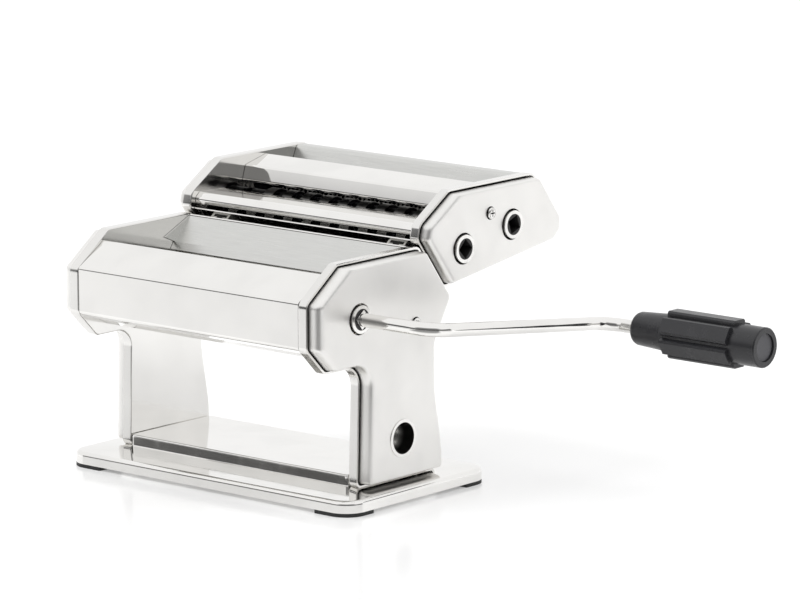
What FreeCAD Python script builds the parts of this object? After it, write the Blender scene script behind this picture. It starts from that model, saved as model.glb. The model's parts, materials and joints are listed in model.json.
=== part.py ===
import FreeCAD, Part
import math
import os
import re

from FreeCAD import Placement, Rotation, Vector

# Hand cranked pasta machine with a clip-on cutter head.
# Millimetres. +X runs along the rollers toward the crank, +Y to the cutter head, +Z up.
# The origin is the centre of the footprint on the table.

os.makedirs("parts", exist_ok=True)
doc = FreeCAD.newDocument("pasta_machine")
sheet = doc.addObject("Spreadsheet::Sheet", "Sizes")

# Driving dimensions: alias and value. A value that starts with = follows other sizes
SIZES = [
    # Base
    ("base_length", 199.0), ("base_depth", 114.0), ("base_corner", 12.0), ("base_sheet", 1.2),
    ("base_wall", 7.0), ("base_edge", 2.4), ("foot_height", 2.0), ("foot_length", 24.0),
    ("foot_depth", 20.0), ("foot_slack", 0.1), ("foot_corner", 1.0), ("plateau_rise", 6.5),
    ("plateau_slack", 0.5), ("plateau_edge", 2.0), ("base_screw_inset", 14.0), ("base_screw", 1.5),
    ("base_screw_head", 2.8), ("base_screw_cap", 1.6), ("base_screw_bite", 0.7),
    # Flanks: inner frame plate with a rim folded outward, and a drawn cover nested in it
    ("inner_half", "=roller_length / 2 + roller_end_gap"), ("plate", 1.5),
    ("rim_width", 5.5), ("rim", 1.2), ("groove", 0.9),
    ("cover_sheet", 1.0), ("cover_seat", 0.2), ("cover_wall", 0.6), ("cover_rise", 6.5),
    ("bevel_front", 8.0), ("bevel_slope", 6.0), ("bevel_neck", 4.0), ("bevel_edge", 2.2),
    ("bevel_top", 1.5),
    # Corners of the flank outline, seen from the crank side
    ("neck_front", -31.5), ("neck_rear", 31.5), ("neck_top_front", -29.5),
    ("flare_top", 22.0), ("waist_rear", 25.7), ("waist_low", 54.0), ("waist_high", 78.0),
    ("shoulder_rear", 39.5), ("shoulder_height", 101.0), ("top_rear", 18.5),
    ("top_height", 129.0), ("top_front", -46.0), ("nose", -70.0), ("nose_top", 111.5),
    ("nose_bottom", 87.0), ("chin", -56.0), ("chin_height", 73.0),
    ("flare_round", 80.0), ("neck_round", 10.0), ("shoulder_round", 6.0), ("corner_round", 5.0),
    ("foot_round", 3.5),
    # Sheets between the flanks
    ("sheet_slack", 0.2), ("panel_sheet", 1.0), ("panel_nose", -69.5), ("lip_front", -53.0),
    ("lip_front_height", 121.6), ("lip", -49.0), ("lip_height", 125.0), ("lip_inner", -46.5),
    ("lip_inner_height", 117.5), ("panel_chin", -54.0), ("panel_chin_height", 81.5),
    ("panel_end", -46.0), ("panel_end_height", 77.8),
    ("hopper_top", 16.2), ("hopper_top_height", 127.6), ("hopper_low", 4.0),
    ("hopper_low_height", 115.3), ("hopper_end", 1.5), ("hopper_end_height", 111.5),
    ("cheek_front", -3.6), ("cheek_height", 118.6),
    ("rear_setback", 1.0), ("rear_top_height", 128.4), ("rear_foot_height", 82.0),
    ("panel_bend", 1.2), ("hopper_bend", 1.0), ("rear_bend", 2.0), ("scraper_bend", 0.8),
    # Tie rods, cover screws and clamp hole
    ("front_rod_y", -60.0), ("front_rod_z", 98.0), ("chin_rod_y", -50.0), ("chin_rod_z", 85.5),
    ("rear_rod_y", 29.0), ("rear_rod_z", 99.0), ("low_rod_y", 19.5), ("low_rod_z", 83.0),
    ("tie_rod", 3.0), ("tie_thread", 2.0), ("nut_flats", 7.0), ("nut_height", 3.2),
    ("screw_y", 8.0), ("screw_z", 90.8), ("left_screw_y", 6.0), ("left_screw_z", 62.0),
    ("standoff", 2.5), ("screw_thread", 1.4), ("screw_head", 3.6), ("screw_cap", 1.5),
    ("clamp_y", -2.6), ("clamp_z", 32.0), ("clamp_bore", 8.0), ("clamp_sleeve", 0.9),
    ("clamp_flange", 1.2), ("clamp_flange_thick", 0.4), ("thread_show", 0.6),
    # Sheeting rollers
    ("drive_y", -36.3), ("drive_z", 99.8), ("roller", 12.0), ("roller_length", 150.0),
    ("roller_end_gap", 2.0),
    ("gap_narrow", 0.3), ("gap_travel", 4.2), ("drive_journal", 7.4), ("bush_wall", 1.9),
    ("bush_flange", 1.8), ("bush_flange_thick", 0.8), ("bush_reach", 1.8), ("fit", 0.06),
    ("journal", 4.5), ("journal_reach", 2.2), ("block_half", 6.5), ("block_height", 8.7),
    ("block_rim", 2.3), ("block_inner_flange", 0.8), ("block_outer_flange", 1.8),
    ("block_slack", 0.1),
    ("socket_side", 7.5), ("socket_depth", 30.0), ("crank_fit", 0.08), ("socket_proud", 1.4),
    ("cover_hole_slack", 0.9), ("roller_teeth", 9.0), ("roller_gear_width", 4.6),
    ("gear_tip", 15.1), ("gear_root", 8.9), ("tooth_tip", 1.5), ("tooth_root", 3.0),
    ("roller_gear_stand", 4.4), ("block_apron", 5.0), ("scraper_sheet", 0.6),
    ("scraper_gap", 0.2), ("scraper_angle", 28.0), ("scraper_foot", 75.5),
    ("scraper_knee", 84.0), ("scraper_shelf", 5.0), ("scraper_shelf_height", 84.7),
    # Thickness regulator
    ("knob_y", -21.8), ("knob_z", 89.6), ("sync_y", 9.5), ("sync_z", 103.5),
    ("knob", 18.5), ("knob_length", 17.5), ("knob_gap", 0.4), ("knob_shaft", 3.0),
    ("knob_pilot", 2.0), ("knob_flat", 2.2), ("knob_bore", 7.0), ("knob_floor", 3.6),
    ("knob_head", 5.2), ("knob_head_thick", 1.6), ("knob_cap_thick", 1.2),
    ("knob_grips", 18.0), ("knob_grip", 1.3), ("index_plate", 17.6), ("index_thick", 2.4),
    ("index_track", 15.0), ("index_pin", 1.4), ("index_slack", 0.25), ("index_depth", 1.2),
    ("detent_depth", 0.7), ("settings", 10.0), ("shaft_step", 0.1), ("head_recess", 0.8),
    ("pin_seat", 6.0), ("pin_float", 0.1), ("knob_inner_edge", 0.6), ("knob_outer_edge", 1.6),
    ("knob_ledge", 1.0), ("knob_groove", 9.0), ("spring_wire", 0.4), ("spring", 4.3),
    ("spring_turns", 5.0), ("spring_slack", 0.1), ("sync_shaft", 3.5), ("sync_bush_rim", 1.2),
    ("sync_bush_show", 0.2), ("cam", 5.8), ("cam_width", 3.0), ("cam_gap", 0.1),
    ("cam_step", 24.0), ("cam_points", 36.0), ("tappet", 2.0), ("cam_stand", 0.6),
    ("sync_gear_stand", 4.5), ("sync_teeth", 32.0), ("sync_gear_width", 3.6),
    ("tooth_play", 0.25),
    # Crank
    ("rod", 3.65), ("crank_reach", 46.0), ("crank_throw_y", 143.8), ("crank_throw_z", -18.0),
    ("crank_bend", 14.0), ("grip_bend", 12.0), ("tip_length", 28.0), ("grip_start", 21.0),
    ("grip_length", 82.0), ("grip_nose", 8.9), ("grip_body", 10.6), ("grip_taper", 30.0),
    ("grip_rib", 12.6), ("grip_rib_width", 9.5), ("grip_ribs", 6.0),
    ("grip_pocket", 7.4), ("grip_pocket_depth", 8.0), ("grip_recess", 1.2),
    ("grip_disc", 2.0), ("ring", 5.0), ("ring_thick", 1.5), ("ring_set", 0.9),
    ("grip_slack", 0.1), ("tip_edge", 0.5), ("tip_shoulder", 0.8), ("tip_overlap", 2.0),
    ("grip_lip", 1.5), ("grip_nose_length", 2.0), ("grip_edge", 0.6), ("rib_edge", 1.0),
    ("rib_start", 22.5), ("rib_length", 43.0), ("rib_turn", 30.0), ("rib_root", 7.6),
    # Cutter head outline
    ("cutter_gap", 0.8), ("cutter_plate", 1.2), ("cutter_cover_rise", 5.0),
    ("cutter_bevel", 5.0), ("cutter_toe_height", 104.2), ("cutter_heel", 125.0),
    ("cutter_heel_height", 116.7), ("cutter_rear", 131.5), ("cutter_rear_low", 122.5),
    ("cutter_rear_high", 131.0), ("cutter_top_rear", 113.0), ("cutter_top", 155.5),
    ("cutter_top_front", 43.0), ("cutter_brow", 19.5), ("cutter_brow_height", 140.5),
    ("cutter_front_height", 132.0), ("cutter_round", 7.0), ("cutter_sheet", 0.9),
    ("guard_bend", 1.5), ("shelf_bend", 1.2), ("divider_bend", 1.6), ("back_bend", 2.0),
    # Cutter rollers
    ("wide_y", 48.4), ("wide_z", 124.2), ("narrow_y", 88.4), ("narrow_z", 131.6),
    ("pair_tilt", 10.5), ("wide_roller", 10.0), ("wide_mesh", 1.0), ("wide_core", 8.0),
    ("wide_ring", 6.5), ("narrow_roller", 9.0), ("narrow_mesh", 1.0), ("narrow_core", 7.5),
    ("narrow_ring", 1.4), ("cutter_journal", 4.0), ("cutter_hub", 7.5), ("idler_reach", 0.8),
    ("cutter_gear_width", 4.0), ("wide_teeth", 19.0), ("narrow_teeth", 17.0),
    ("comb_sheet", 0.8), ("comb_reach", 6.2), ("comb_tip_gap", 0.4),
    ("comb_drop", 7.5), ("comb_margin", 0.7), ("cutter_screw_y", 70.6),
    ("cutter_screw_z", 140.0), ("cutter_standoff", 2.1), ("wide_pitch", 13.2),
    ("narrow_pitch", 3.0), ("wide_rings", 11.0), ("narrow_rings", 45.0),
    ("cutter_gear_stand", 1.8), ("cutter_tooth_play", 0.12), ("cutter_socket_depth", 26.0),
    ("wide_socket_turn", 45.0), ("narrow_socket_turn", 20.0), ("wide_finger", 5.6),
    ("narrow_finger", 1.1), ("brace", 2.5), ("brace_pin", 1.6), ("brace_head", 2.8),
    ("brace_head_thick", 1.2), ("front_brace_y", 32.0), ("front_brace_z", 124.0),
    ("rear_brace_y", 118.0), ("rear_brace_z", 128.0),
    # Sheets of the cutter head
    ("guard_low", 22.3), ("guard_low_height", 133.2), ("guard_front", 21.3),
    ("guard_front_height", 136.2), ("guard_top", 24.8), ("guard_top_height", 139.3),
    ("guard_rear", 46.5), ("guard_rear_height", 138.5), ("guard_end", 50.2),
    ("guard_end_height", 135.6), ("shelf_height", 130.9), ("shelf_fold_height", 108.5),
    ("shelf_end", 47.0), ("shelf_end_height", 107.0), ("shelf_out", 2.8),
    ("divider_front", 59.0), ("divider_front_low", 140.2), ("divider_rear", 84.0),
    ("divider_rear_low", 142.6), ("divider_top", 79.5), ("divider_top_height", 153.6),
    ("divider_crease", 62.0), ("divider_crease_height", 149.4), ("chute_low", 98.8),
    ("chute_low_height", 143.0), ("chute_top", 104.0), ("back_top", 111.5),
    ("back_top_height", 155.0), ("back", 129.5), ("back_high", 131.0), ("back_low", 122.5),
    ("back_toe", 124.0), ("back_toe_height", 118.5), ("back_end", 112.0),
    ("back_end_height", 116.4),
    # Rails that hold the cutter head
    ("rail_x", 62.0), ("rail_length", 22.0), ("rail_neck", 4.0), ("rail_head", 9.0),
    ("rail_head_thick", 1.6), ("rail_slack", 0.15), ("rail_wall", 1.5), ("rail_start", 5.0),
    ("rail_lip", 0.8),
]
for row, (alias, value) in enumerate(SIZES, 1):
    sheet.set("A%d" % row, alias)
    sheet.set("B%d" % row, str(value))
    sheet.setAlias("B%d" % row, alias)
doc.recompute()
ALIASES = {alias for alias, value in SIZES}


def size(alias):
    return float(sheet.get(alias))


def bind(obj, **places):
    """Ties properties to the sheet. A double underscore in a name stands for a dot."""
    for path, text in places.items():
        text = re.sub(r"[a-z][a-z_]*", with_sheet, str(text))
        obj.setExpression(path.replace("__", "."), text)
    return obj


def with_sheet(match):
    word = match.group(0)
    return "Sizes." + word if word in ALIASES else word


# How far a cutting outline runs past the metal, and the sharpest corner of an inset
OVERRUN = 1.0
LEAST_BEND = 0.8

# Tooth proportions, as shares of the module. The flank share thins the root
TOOTH_TIP, TOOTH_ADDENDUM, TOOTH_DEDENDUM, TOOTH_FLANK = 0.62, 0.8, 1.05, 0.9

# A screw head's dome, as shares of its height and radius, and its cross recess:
# half length and half width as shares of the radius, floor as a share of the height
SCREW_DOME = ((1.0, 0.45), (0.72, 0.8), (0.0, 1.0))
CROSS_LENGTH, CROSS_WIDTH, CROSS_FLOOR = 0.5, 0.09, 0.35

# A cover's bevel, as shares of its rise and of its width
BEVEL_CURVE = ((0.0, 0.0), (0.6, 0.034), (0.8, 0.124), (0.9, 0.234), (0.96, 0.377), (1.0, 1.0))

# Helpers for outlines


def unit(vector):
    return Vector(vector).normalize()


def rounded(points, radii):
    """Lines and arcs round a closed outline whose corners each have a radius."""
    count = len(points)
    if not isinstance(radii, (list, tuple)):
        radii = [radii] * count
    trims = []
    for i, corner in enumerate(points):
        back = unit(points[i - 1] - corner)
        ahead = unit(points[(i + 1) % count] - corner)
        half = back.getAngle(ahead) / 2
        if radii[i] <= 0 or abs(half - math.pi / 2) < 1e-6:
            trims.append((corner, None, corner))
            continue
        reach = radii[i] / math.tan(half)
        centre = corner + unit(back + ahead) * (radii[i] / math.sin(half))
        middle = centre + unit(corner - centre) * radii[i]
        trims.append((corner + back * reach, middle, corner + ahead * reach))
    edges = []
    for i, (start, middle, end) in enumerate(trims):
        if middle is not None:
            edges.append(Part.Arc(start, middle, end))
        following = trims[(i + 1) % count][0]
        if end.distanceToPoint(following) > 1e-6:
            edges.append(Part.LineSegment(end, following))
    return edges


def inset(points, steps):
    """The outline whose edges lie inside by the given steps. Points run anticlockwise."""
    count = len(points)
    if not isinstance(steps, (list, tuple)):
        steps = [steps] * count
    lines = []
    for i, start in enumerate(points):
        along = unit(points[(i + 1) % count] - start)
        inward = Vector(-along.y, along.x, 0)
        lines.append((start + inward * steps[i], along))
    return [crossing(lines[i - 1], lines[i]) for i in range(count)]


def crossing(first, second):
    (a, u), (b, v) = first, second
    turn = u.x * v.y - u.y * v.x
    reach = ((b.x - a.x) * v.y - (b.y - a.y) * v.x) / turn
    return a + u * reach


def inset_radii(points, radii, steps):
    """Corner radii after an inset: smaller at convex corners, larger at hollow ones."""
    count = len(points)
    if not isinstance(steps, (list, tuple)):
        steps = [steps] * count
    result = []
    for i, radius in enumerate(radii):
        u = points[i] - points[i - 1]
        v = points[(i + 1) % count] - points[i]
        step = min(steps[i - 1], steps[i])
        convex = u.x * v.y - u.y * v.x > 0
        result.append(max(radius - step, LEAST_BEND) if convex else radius + step)
    return result


def strip(path, thickness, bend):
    """Corners and radii of a bent sheet. It lies to the left of its path."""
    left = []
    for i, point in enumerate(path):
        before = unit(point - path[i - 1]) if i else None
        after = unit(path[i + 1] - point) if i + 1 < len(path) else None
        before, after = before or after, after or before
        normal = unit(Vector(-before.y - after.y, before.x + after.x, 0))
        share = normal.dot(Vector(-before.y, before.x, 0))
        left.append(point + normal * (thickness / share))
    radii, far = [], []
    for i, point in enumerate(path):
        if i in (0, len(path) - 1):
            radii.append(0)
            far.append(0)
            continue
        u, v = point - path[i - 1], path[i + 1] - point
        turns_left = u.x * v.y - u.y * v.x > 0
        radii.append(bend + thickness if turns_left else bend)
        far.append(bend if turns_left else bend + thickness)
    return path + left[::-1], radii + far[::-1]


def corners(*names):
    """Points from pairs of sizes: each a name, or a plain number already worked out."""
    return [Vector(value_of(a), value_of(b), 0) for a, b in names]


def value_of(entry):
    return size(entry) if isinstance(entry, str) else entry


# Helpers for solids


def sketch_on(body, role, name, geometry):
    """A sketch on one of the body's origin planes."""
    sketch = body.newObject("Sketcher::SketchObject", name)
    plane = [f for f in body.Origin.OriginFeatures if f.Role == role][0]
    sketch.AttachmentSupport = [(plane, "")]
    sketch.MapMode = "FlatFace"
    sketch.addGeometry(geometry, False)
    return sketch


def new_body(name):
    body = doc.addObject("PartDesign::Body", name)
    body.Label = name
    return body


def pad(body, geometry, start, length, role="YZ_Plane", name="pad"):
    """Pads an outline along the plane's normal. Start and length are expressions."""
    sketch = sketch_on(body, role, name + "_outline", geometry)
    bind(sketch, AttachmentOffset__Base__z=start)
    feature = body.newObject("PartDesign::Pad", name)
    feature.Profile = sketch
    bind(feature, Length=length)
    body.Tip = feature
    return feature


def pocket(body, geometry, start, length, role="YZ_Plane", name="pocket"):
    """Cuts an outline out of the body, along the plane's normal."""
    sketch = sketch_on(body, role, name + "_outline", geometry)
    bind(sketch, AttachmentOffset__Base__z=start)
    feature = body.newObject("PartDesign::Pocket", name)
    feature.Profile = sketch
    feature.Reversed = True
    bind(feature, Length=length)
    body.Tip = feature
    return feature


def revolve(body, points, name):
    """Turns an outline of distances along X and radii about the X axis."""
    points = [p for i, p in enumerate(points) if p.distanceToPoint(points[i - 1]) > 1e-6]
    sketch = sketch_on(body, "XY_Plane", name + "_outline", rounded(points, 0))
    feature = body.newObject("PartDesign::Revolution", name)
    feature.Profile = sketch
    feature.ReferenceAxis = (sketch, ["H_Axis"])
    feature.Angle = 360.0
    body.Tip = feature
    return feature


def place(obj, **places):
    """Moves an object: x, y and z are expressions."""
    return bind(obj, **{"Placement__Base__" + axis: text for axis, text in places.items()})


def rod(name, x, length, y, z, radius):
    """A cylinder along X from x."""
    item = doc.addObject("Part::Cylinder", name)
    item.Placement = Placement(Vector(), Rotation(Vector(0, 1, 0), 90))
    bind(item, Radius=radius, Height=length)
    return place(item, x=x, y=y, z=z)


def cut(name, base, tools):
    item = doc.addObject("Part::Cut", name)
    item.Base = base
    item.Tool = tools[0] if len(tools) == 1 else join(name + "_tools", tools)
    return item


def join(name, items):
    item = doc.addObject("Part::MultiFuse", name)
    item.Shapes = items
    return item


def group(name, items):
    item = doc.addObject("Part::Compound", name)
    item.Links = items
    return item


def shaped(name, shape):
    item = doc.addObject("Part::Feature", name)
    item.Shape = shape
    return item


pieces = {}


def piece(name, item):
    """Keeps a finished sub-part under its node's name."""
    item.Label = name
    pieces[name] = item
    return item


def circle(y, z, radius):
    return Part.Circle(Vector(y, z, 0), Vector(0, 0, 1), radius)


def square(side, turn, corner=0.0):
    """A square outline round the axis. Unturned, its sides are level and upright."""
    reach = side / math.sqrt(2)
    points = []
    for quarter in range(4):
        angle = math.radians(turn + 45 + 90 * quarter)
        points.append(Vector(reach * math.cos(angle), reach * math.sin(angle), 0))
    return rounded(points, corner)


def box_outline(y, z, half_y, half_z, corner=0.0):
    return rounded([Vector(y - half_y, z - half_z, 0), Vector(y + half_y, z - half_z, 0),
                    Vector(y + half_y, z + half_z, 0), Vector(y - half_y, z + half_z, 0)],
                   corner)


def toothed(teeth, tip, root, tip_width, root_width, turn=0.0):
    """A gear outline: straight sided teeth on a round root. Turn counts in teeth."""
    points = []
    for tooth in range(int(teeth)):
        middle = 2 * math.pi * (tooth + turn) / teeth
        for radius, width in ((root, -root_width), (tip, -tip_width), (tip, tip_width),
                              (root, root_width)):
            angle = middle + math.asin(width / 2 / radius)
            points.append(Vector(radius * math.cos(angle), radius * math.sin(angle), 0))
    return rounded(points, 0)


def spur(teeth, pitch, play, turn):
    """A gear outline from its tooth count and pitch radius, turned by degrees."""
    module = 2 * pitch / teeth
    tip_width = module * TOOTH_TIP
    root_width = (math.pi * module - tip_width - 2 * play) * TOOTH_FLANK
    return toothed(teeth, pitch + module * TOOTH_ADDENDUM, pitch - module * TOOTH_DEDENDUM,
                   tip_width, root_width, turn * teeth / 360)


SIDES = (("left", -1), ("right", 1))

# Shared places, worked out from the sheet

BASE_TOP = size("foot_height") + size("base_wall")
FLANK = corners(
    ("neck_front", BASE_TOP), ("neck_rear", BASE_TOP), ("neck_rear", "flare_top"),
    ("waist_rear", "waist_low"), ("waist_rear", "waist_high"),
    ("shoulder_rear", "shoulder_height"), ("top_rear", "top_height"),
    ("top_front", "top_height"), ("nose", "nose_top"), ("nose", "nose_bottom"),
    ("chin", "chin_height"), ("neck_top_front", "chin_height"))
FLANK_RADII = [size(name) for name in (
    "foot_round", "foot_round", "flare_round", "flare_round", "neck_round",
    "shoulder_round", "corner_round", "corner_round", "shoulder_round",
    "corner_round", "corner_round", "neck_round")]
FLANK_BEVELS = [size(name) for name in (
    "bevel_top", "bevel_edge", "bevel_edge", "bevel_edge", "bevel_edge", "bevel_edge",
    "bevel_top", "bevel_slope", "bevel_front", "bevel_slope", "bevel_edge", "bevel_neck")]
TIE_RODS = [(size(place + "_rod_y"), size(place + "_rod_z"))
            for place in ("front", "chin", "rear", "low")]

# Degrees that stand a square on a corner
CORNER_UP = 45
CRANK_TURN = math.degrees(math.atan2(size("crank_throw_z"), size("crank_throw_y")))
REST_Y = size("drive_y") + 2 * size("roller") + size("gap_narrow") + size("gap_travel")
REST = "(drive_y + 2 * roller + gap_narrow + gap_travel)"
FACE = "(inner_half + rim_width + cover_wall + cover_rise)"
FACE_X = size("inner_half") + size("rim_width") + size("cover_wall") + size("cover_rise")

# From the widest setting the knob turns backward about +X, and the cross shaft forward
KNOB_SENSE = -1
REGULATOR_TURN = 2 * math.pi * (1 - 1 / size("settings"))

# The slope that carries the cutter head: down it, and out of it
SLOPE_TOP = Vector(size("top_rear"), size("top_height"), 0)
SLOPE = unit(Vector(size("shoulder_rear"), size("shoulder_height"), 0) - SLOPE_TOP)
SLOPE_OUT = Vector(-SLOPE.y, SLOPE.x, 0)


def on_slope(down, out):
    return SLOPE_TOP + SLOPE * down + SLOPE_OUT * out


def at_height(out, height):
    """The point of a line parallel to the slope, out from it, at a height."""
    start = on_slope(0, out)
    return start + SLOPE * ((height - start.y) / SLOPE.y)


def tilted(y, z, reach):
    """The axis that lies a reach behind another one along the cutter head's tilt."""
    angle = math.radians(size("pair_tilt"))
    return y + reach * math.cos(angle), z + reach * math.sin(angle)


WIDE_STEP = 2 * size("wide_roller") - size("wide_mesh")
NARROW_STEP = 2 * size("narrow_roller") - size("narrow_mesh")
WIDE = (size("wide_y"), size("wide_z"))
WIDE_MATE = tilted(*WIDE, WIDE_STEP)
NARROW = (size("narrow_y"), size("narrow_z"))
NARROW_MATE = tilted(*NARROW, NARROW_STEP)

# Base plate, feet and its screws


def base_outline(step=0.0):
    return box_outline(0, 0, size("base_length") / 2 - step, size("base_depth") / 2 - step,
                       size("base_corner") - step)


def plateau_outline(step=0.0):
    front, rear = size("neck_front") + step, size("neck_rear") - step
    return box_outline(0, (front + rear) / 2, size("inner_half") - size("plateau_slack") - step,
                       (rear - front) / 2, size("plateau_edge"))


def top_edges(feature, height):
    """Names of the feature's edges that lie flat at a height."""
    names = []
    for i, edge in enumerate(feature.Shape.Edges, 1):
        box = edge.BoundBox
        if max(abs(box.ZMin - height), abs(box.ZMax - height)) < 1e-4:
            names.append("Edge%d" % i)
    return names


def make_base():
    sheet_step = size("base_sheet")
    body = new_body("base_plate")
    wall = pad(body, base_outline(), "foot_height", "base_wall", "XY_Plane", "wall")
    doc.recompute()
    edge = body.newObject("PartDesign::Fillet", "rolled_edge")
    edge.Base = (wall, top_edges(wall, BASE_TOP))
    bind(edge, Radius="base_edge")
    body.Tip = edge
    pad(body, plateau_outline(), "foot_height + base_wall - base_sheet",
        "plateau_rise + base_sheet", "XY_Plane", "plateau")
    pocket(body, base_outline(sheet_step), "foot_height", "base_wall - base_sheet",
           "XY_Plane", "underside")
    pocket(body, plateau_outline(sheet_step), "foot_height",
           "base_wall + plateau_rise - base_sheet", "XY_Plane", "plateau_underside")
    holes = [Part.Circle(Vector(x, y, 0), Vector(0, 0, 1), size("base_screw") + size("fit"))
             for x, y in base_screw_places()]
    pocket(body, holes, "foot_height", "base_wall * 2", "XY_Plane", "screw_holes")
    piece("base_plate", body)

    feet = []
    for i, (sx, sy) in enumerate(((-1, -1), (1, -1), (1, 1), (-1, 1))):
        feet.append(make_foot("foot_%d" % i, sx, sy))
    piece("rubber_feet", group("rubber_feet", feet))

    screws = []
    for i, (x, y) in enumerate(base_screw_places()):
        head = cylinder_up("base_screw_head_%d" % i, x, y,
                           "foot_height + base_wall - base_sheet - base_screw_cap",
                           "base_screw_cap", "base_screw_head")
        shank = cylinder_up("base_screw_shank_%d" % i, x, y,
                            "foot_height + base_wall - base_sheet",
                            "base_sheet + rim + base_screw_bite", "base_screw")
        screws.append(join("base_screw_%d" % i, [head, shank]))
    piece("base_screws", group("base_screws", screws))


def base_screw_places():
    middle = size("inner_half") + (size("rim_width") + size("plate")) / 2
    rows = (size("neck_front") + size("base_screw_inset"),
            size("neck_rear") - size("base_screw_inset"))
    return [(side * middle, y) for side in (-1, 1) for y in rows]


def cylinder_up(name, x, y, z, height, radius):
    item = doc.addObject("Part::Cylinder", name)
    bind(item, Radius=radius, Height=height)
    return place(item, x=x, y=y, z=z)


def make_foot(name, sx, sy):
    """A corner pad under the rolled wall, with a plug that fills the corner of the shell."""
    outer = Vector(sx * size("base_length") / 2, sy * size("base_depth") / 2, 0)
    body = new_body(name)
    pad(body, foot_outline(outer, sx, sy, 0.0), "0", "foot_height", "XY_Plane", "tread")
    pad(body, foot_outline(outer, sx, sy, size("base_sheet") + size("foot_slack")),
        "0", "foot_height + base_wall - base_sheet", "XY_Plane", "plug")
    return body


def foot_outline(outer, sx, sy, step):
    near = outer - Vector(sx * step, sy * step, 0)
    far = outer - Vector(sx * (size("foot_length") - step), sy * (size("foot_depth") - step), 0)
    points = [near, Vector(far.x, near.y, 0), far, Vector(near.x, far.y, 0)]
    radii = [size("base_corner") - step] + 3 * [size("foot_corner")]
    if sx * sy < 0:
        points = [points[0]] + points[:0:-1]
    return rounded(points, radii)


# Flanks: frame plates, covers, tie rods and their fasteners


def make_flanks():
    for side, sign in SIDES:
        piece(side + "_frame_plate", make_frame_plate(side, sign))
        piece(side + "_side_cover", make_side_cover(side, sign))
    piece("clamp_sleeve", make_clamp_sleeve())
    make_tie_rods()
    make_cover_screws()


def span(sign, inner, thickness):
    """Start and length along X of a layer on one side, measured from its inner face."""
    if sign > 0:
        return "%s" % inner, thickness
    return "-(%s) - (%s)" % (inner, thickness), thickness


def make_frame_plate(side, sign):
    body = new_body(side + "_frame_plate")
    start, length = span(sign, "inner_half", "rim_width")
    pad(body, rounded(FLANK, FLANK_RADII), start, length, name="blank")
    hollow_radii = inset_radii(FLANK, FLANK_RADII, size("rim"))
    hollow_start, hollow = span(sign, "inner_half + plate", "rim_width - plate")
    pocket(body, rounded(inset(FLANK, size("rim")), hollow_radii), hollow_start, hollow,
           name="dish")
    clear = size("fit")
    holes = [circle(y, z, size("tie_thread") + clear) for y, z in TIE_RODS]
    holes.append(circle(size("drive_y"), size("drive_z"), size("drive_journal") + 2 * clear
                        + size("bush_wall")))
    holes.append(circle(size("sync_y"), size("sync_z"), size("sync_shaft") + 2 * clear
                        + size("bush_wall")))
    if side == "left":
        holes.append(circle(size("knob_y"), size("knob_z"), size("knob_pilot") + clear))
    plate_start, plate = span(sign, "inner_half", "plate")
    pocket(body, holes, plate_start, plate, name="bores")
    travel, slack = size("gap_travel") / 2, size("block_slack")
    slot = box_outline(REST_Y - travel, size("drive_z"), size("block_half") + slack + travel,
                       size("block_height") + slack)
    pocket(body, slot, plate_start, plate, name="block_slot")
    foot_holes = [Part.Circle(Vector(x, y, 0), Vector(0, 0, 1), size("base_screw") + clear)
                  for x, y in base_screw_places() if x * sign > 0]
    pocket(body, foot_holes, "foot_height + base_wall", "rim", "XY_Plane", "foot_holes")
    return body


def cover_sections(points, radii, bevels, first, share_list, depth):
    """Closed wires at steps along X: each a place along X and a share of the bevel."""
    wires = []
    for x, share in share_list:
        steps = [first + share * bevel + depth for bevel in bevels]
        wire = Part.Wire([e.toShape() for e in rounded(inset(points, steps),
                                                       inset_radii(points, radii, steps))])
        turn = Placement(Vector(x, 0, 0), Rotation(Vector(1, 1, 1), 120))
        wires.append(wire.transformGeometry(turn.toMatrix()))
    return wires


def drawn_cover(points, radii, bevels, seat, wall, rise):
    """A drawn sheet cover: straight wall, rounded bevel and flat face, open at the back."""
    first = size("rim") + size("groove")
    metal = size("cover_sheet")
    outer, inner = [(seat, 0.0)], [(seat - OVERRUN, 0.0)]
    for up, share in BEVEL_CURVE:
        outer.append((wall + rise * up, share))
        inner.append((wall + (rise - metal) * up, share))
    shell = Part.makeLoft(cover_sections(points, radii, bevels, first, outer, 0.0), True, True)
    void = Part.makeLoft(cover_sections(points, radii, bevels, first, inner, metal), True, True)
    return shell.cut(void)


def mirrored(shape, sign):
    return shape if sign > 0 else shape.mirror(Vector(), Vector(1, 0, 0))


def make_side_cover(side, sign):
    seat = size("inner_half") + size("plate") + size("cover_seat")
    wall = size("inner_half") + size("rim_width") + size("cover_wall")
    shell = drawn_cover(FLANK, FLANK_RADII, FLANK_BEVELS, seat, wall, size("cover_rise"))
    blank = shaped(side + "_cover_shell", mirrored(shell, sign))
    start, length = span(sign, "%s - cover_rise" % FACE, "cover_rise + %g" % OVERRUN)
    if side == "right":
        tools = [rod("crank_hole", start, length, "drive_y", "drive_z",
                     "drive_journal + cover_hole_slack"),
                 rod("clamp_hole", start, length, "clamp_y", "clamp_z",
                     "clamp_bore + clamp_sleeve"),
                 rod("right_screw_hole", start, length, "screw_y", "screw_z",
                     "screw_thread + fit")]
    else:
        tools = [rod("knob_hole", start, length, "knob_y", "knob_z", "knob_shaft + fit"),
                 rod("left_screw_hole", start, length, "left_screw_y", "left_screw_z",
                     "screw_thread + fit")]
    return cut(side + "_side_cover", blank, tools)


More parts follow.
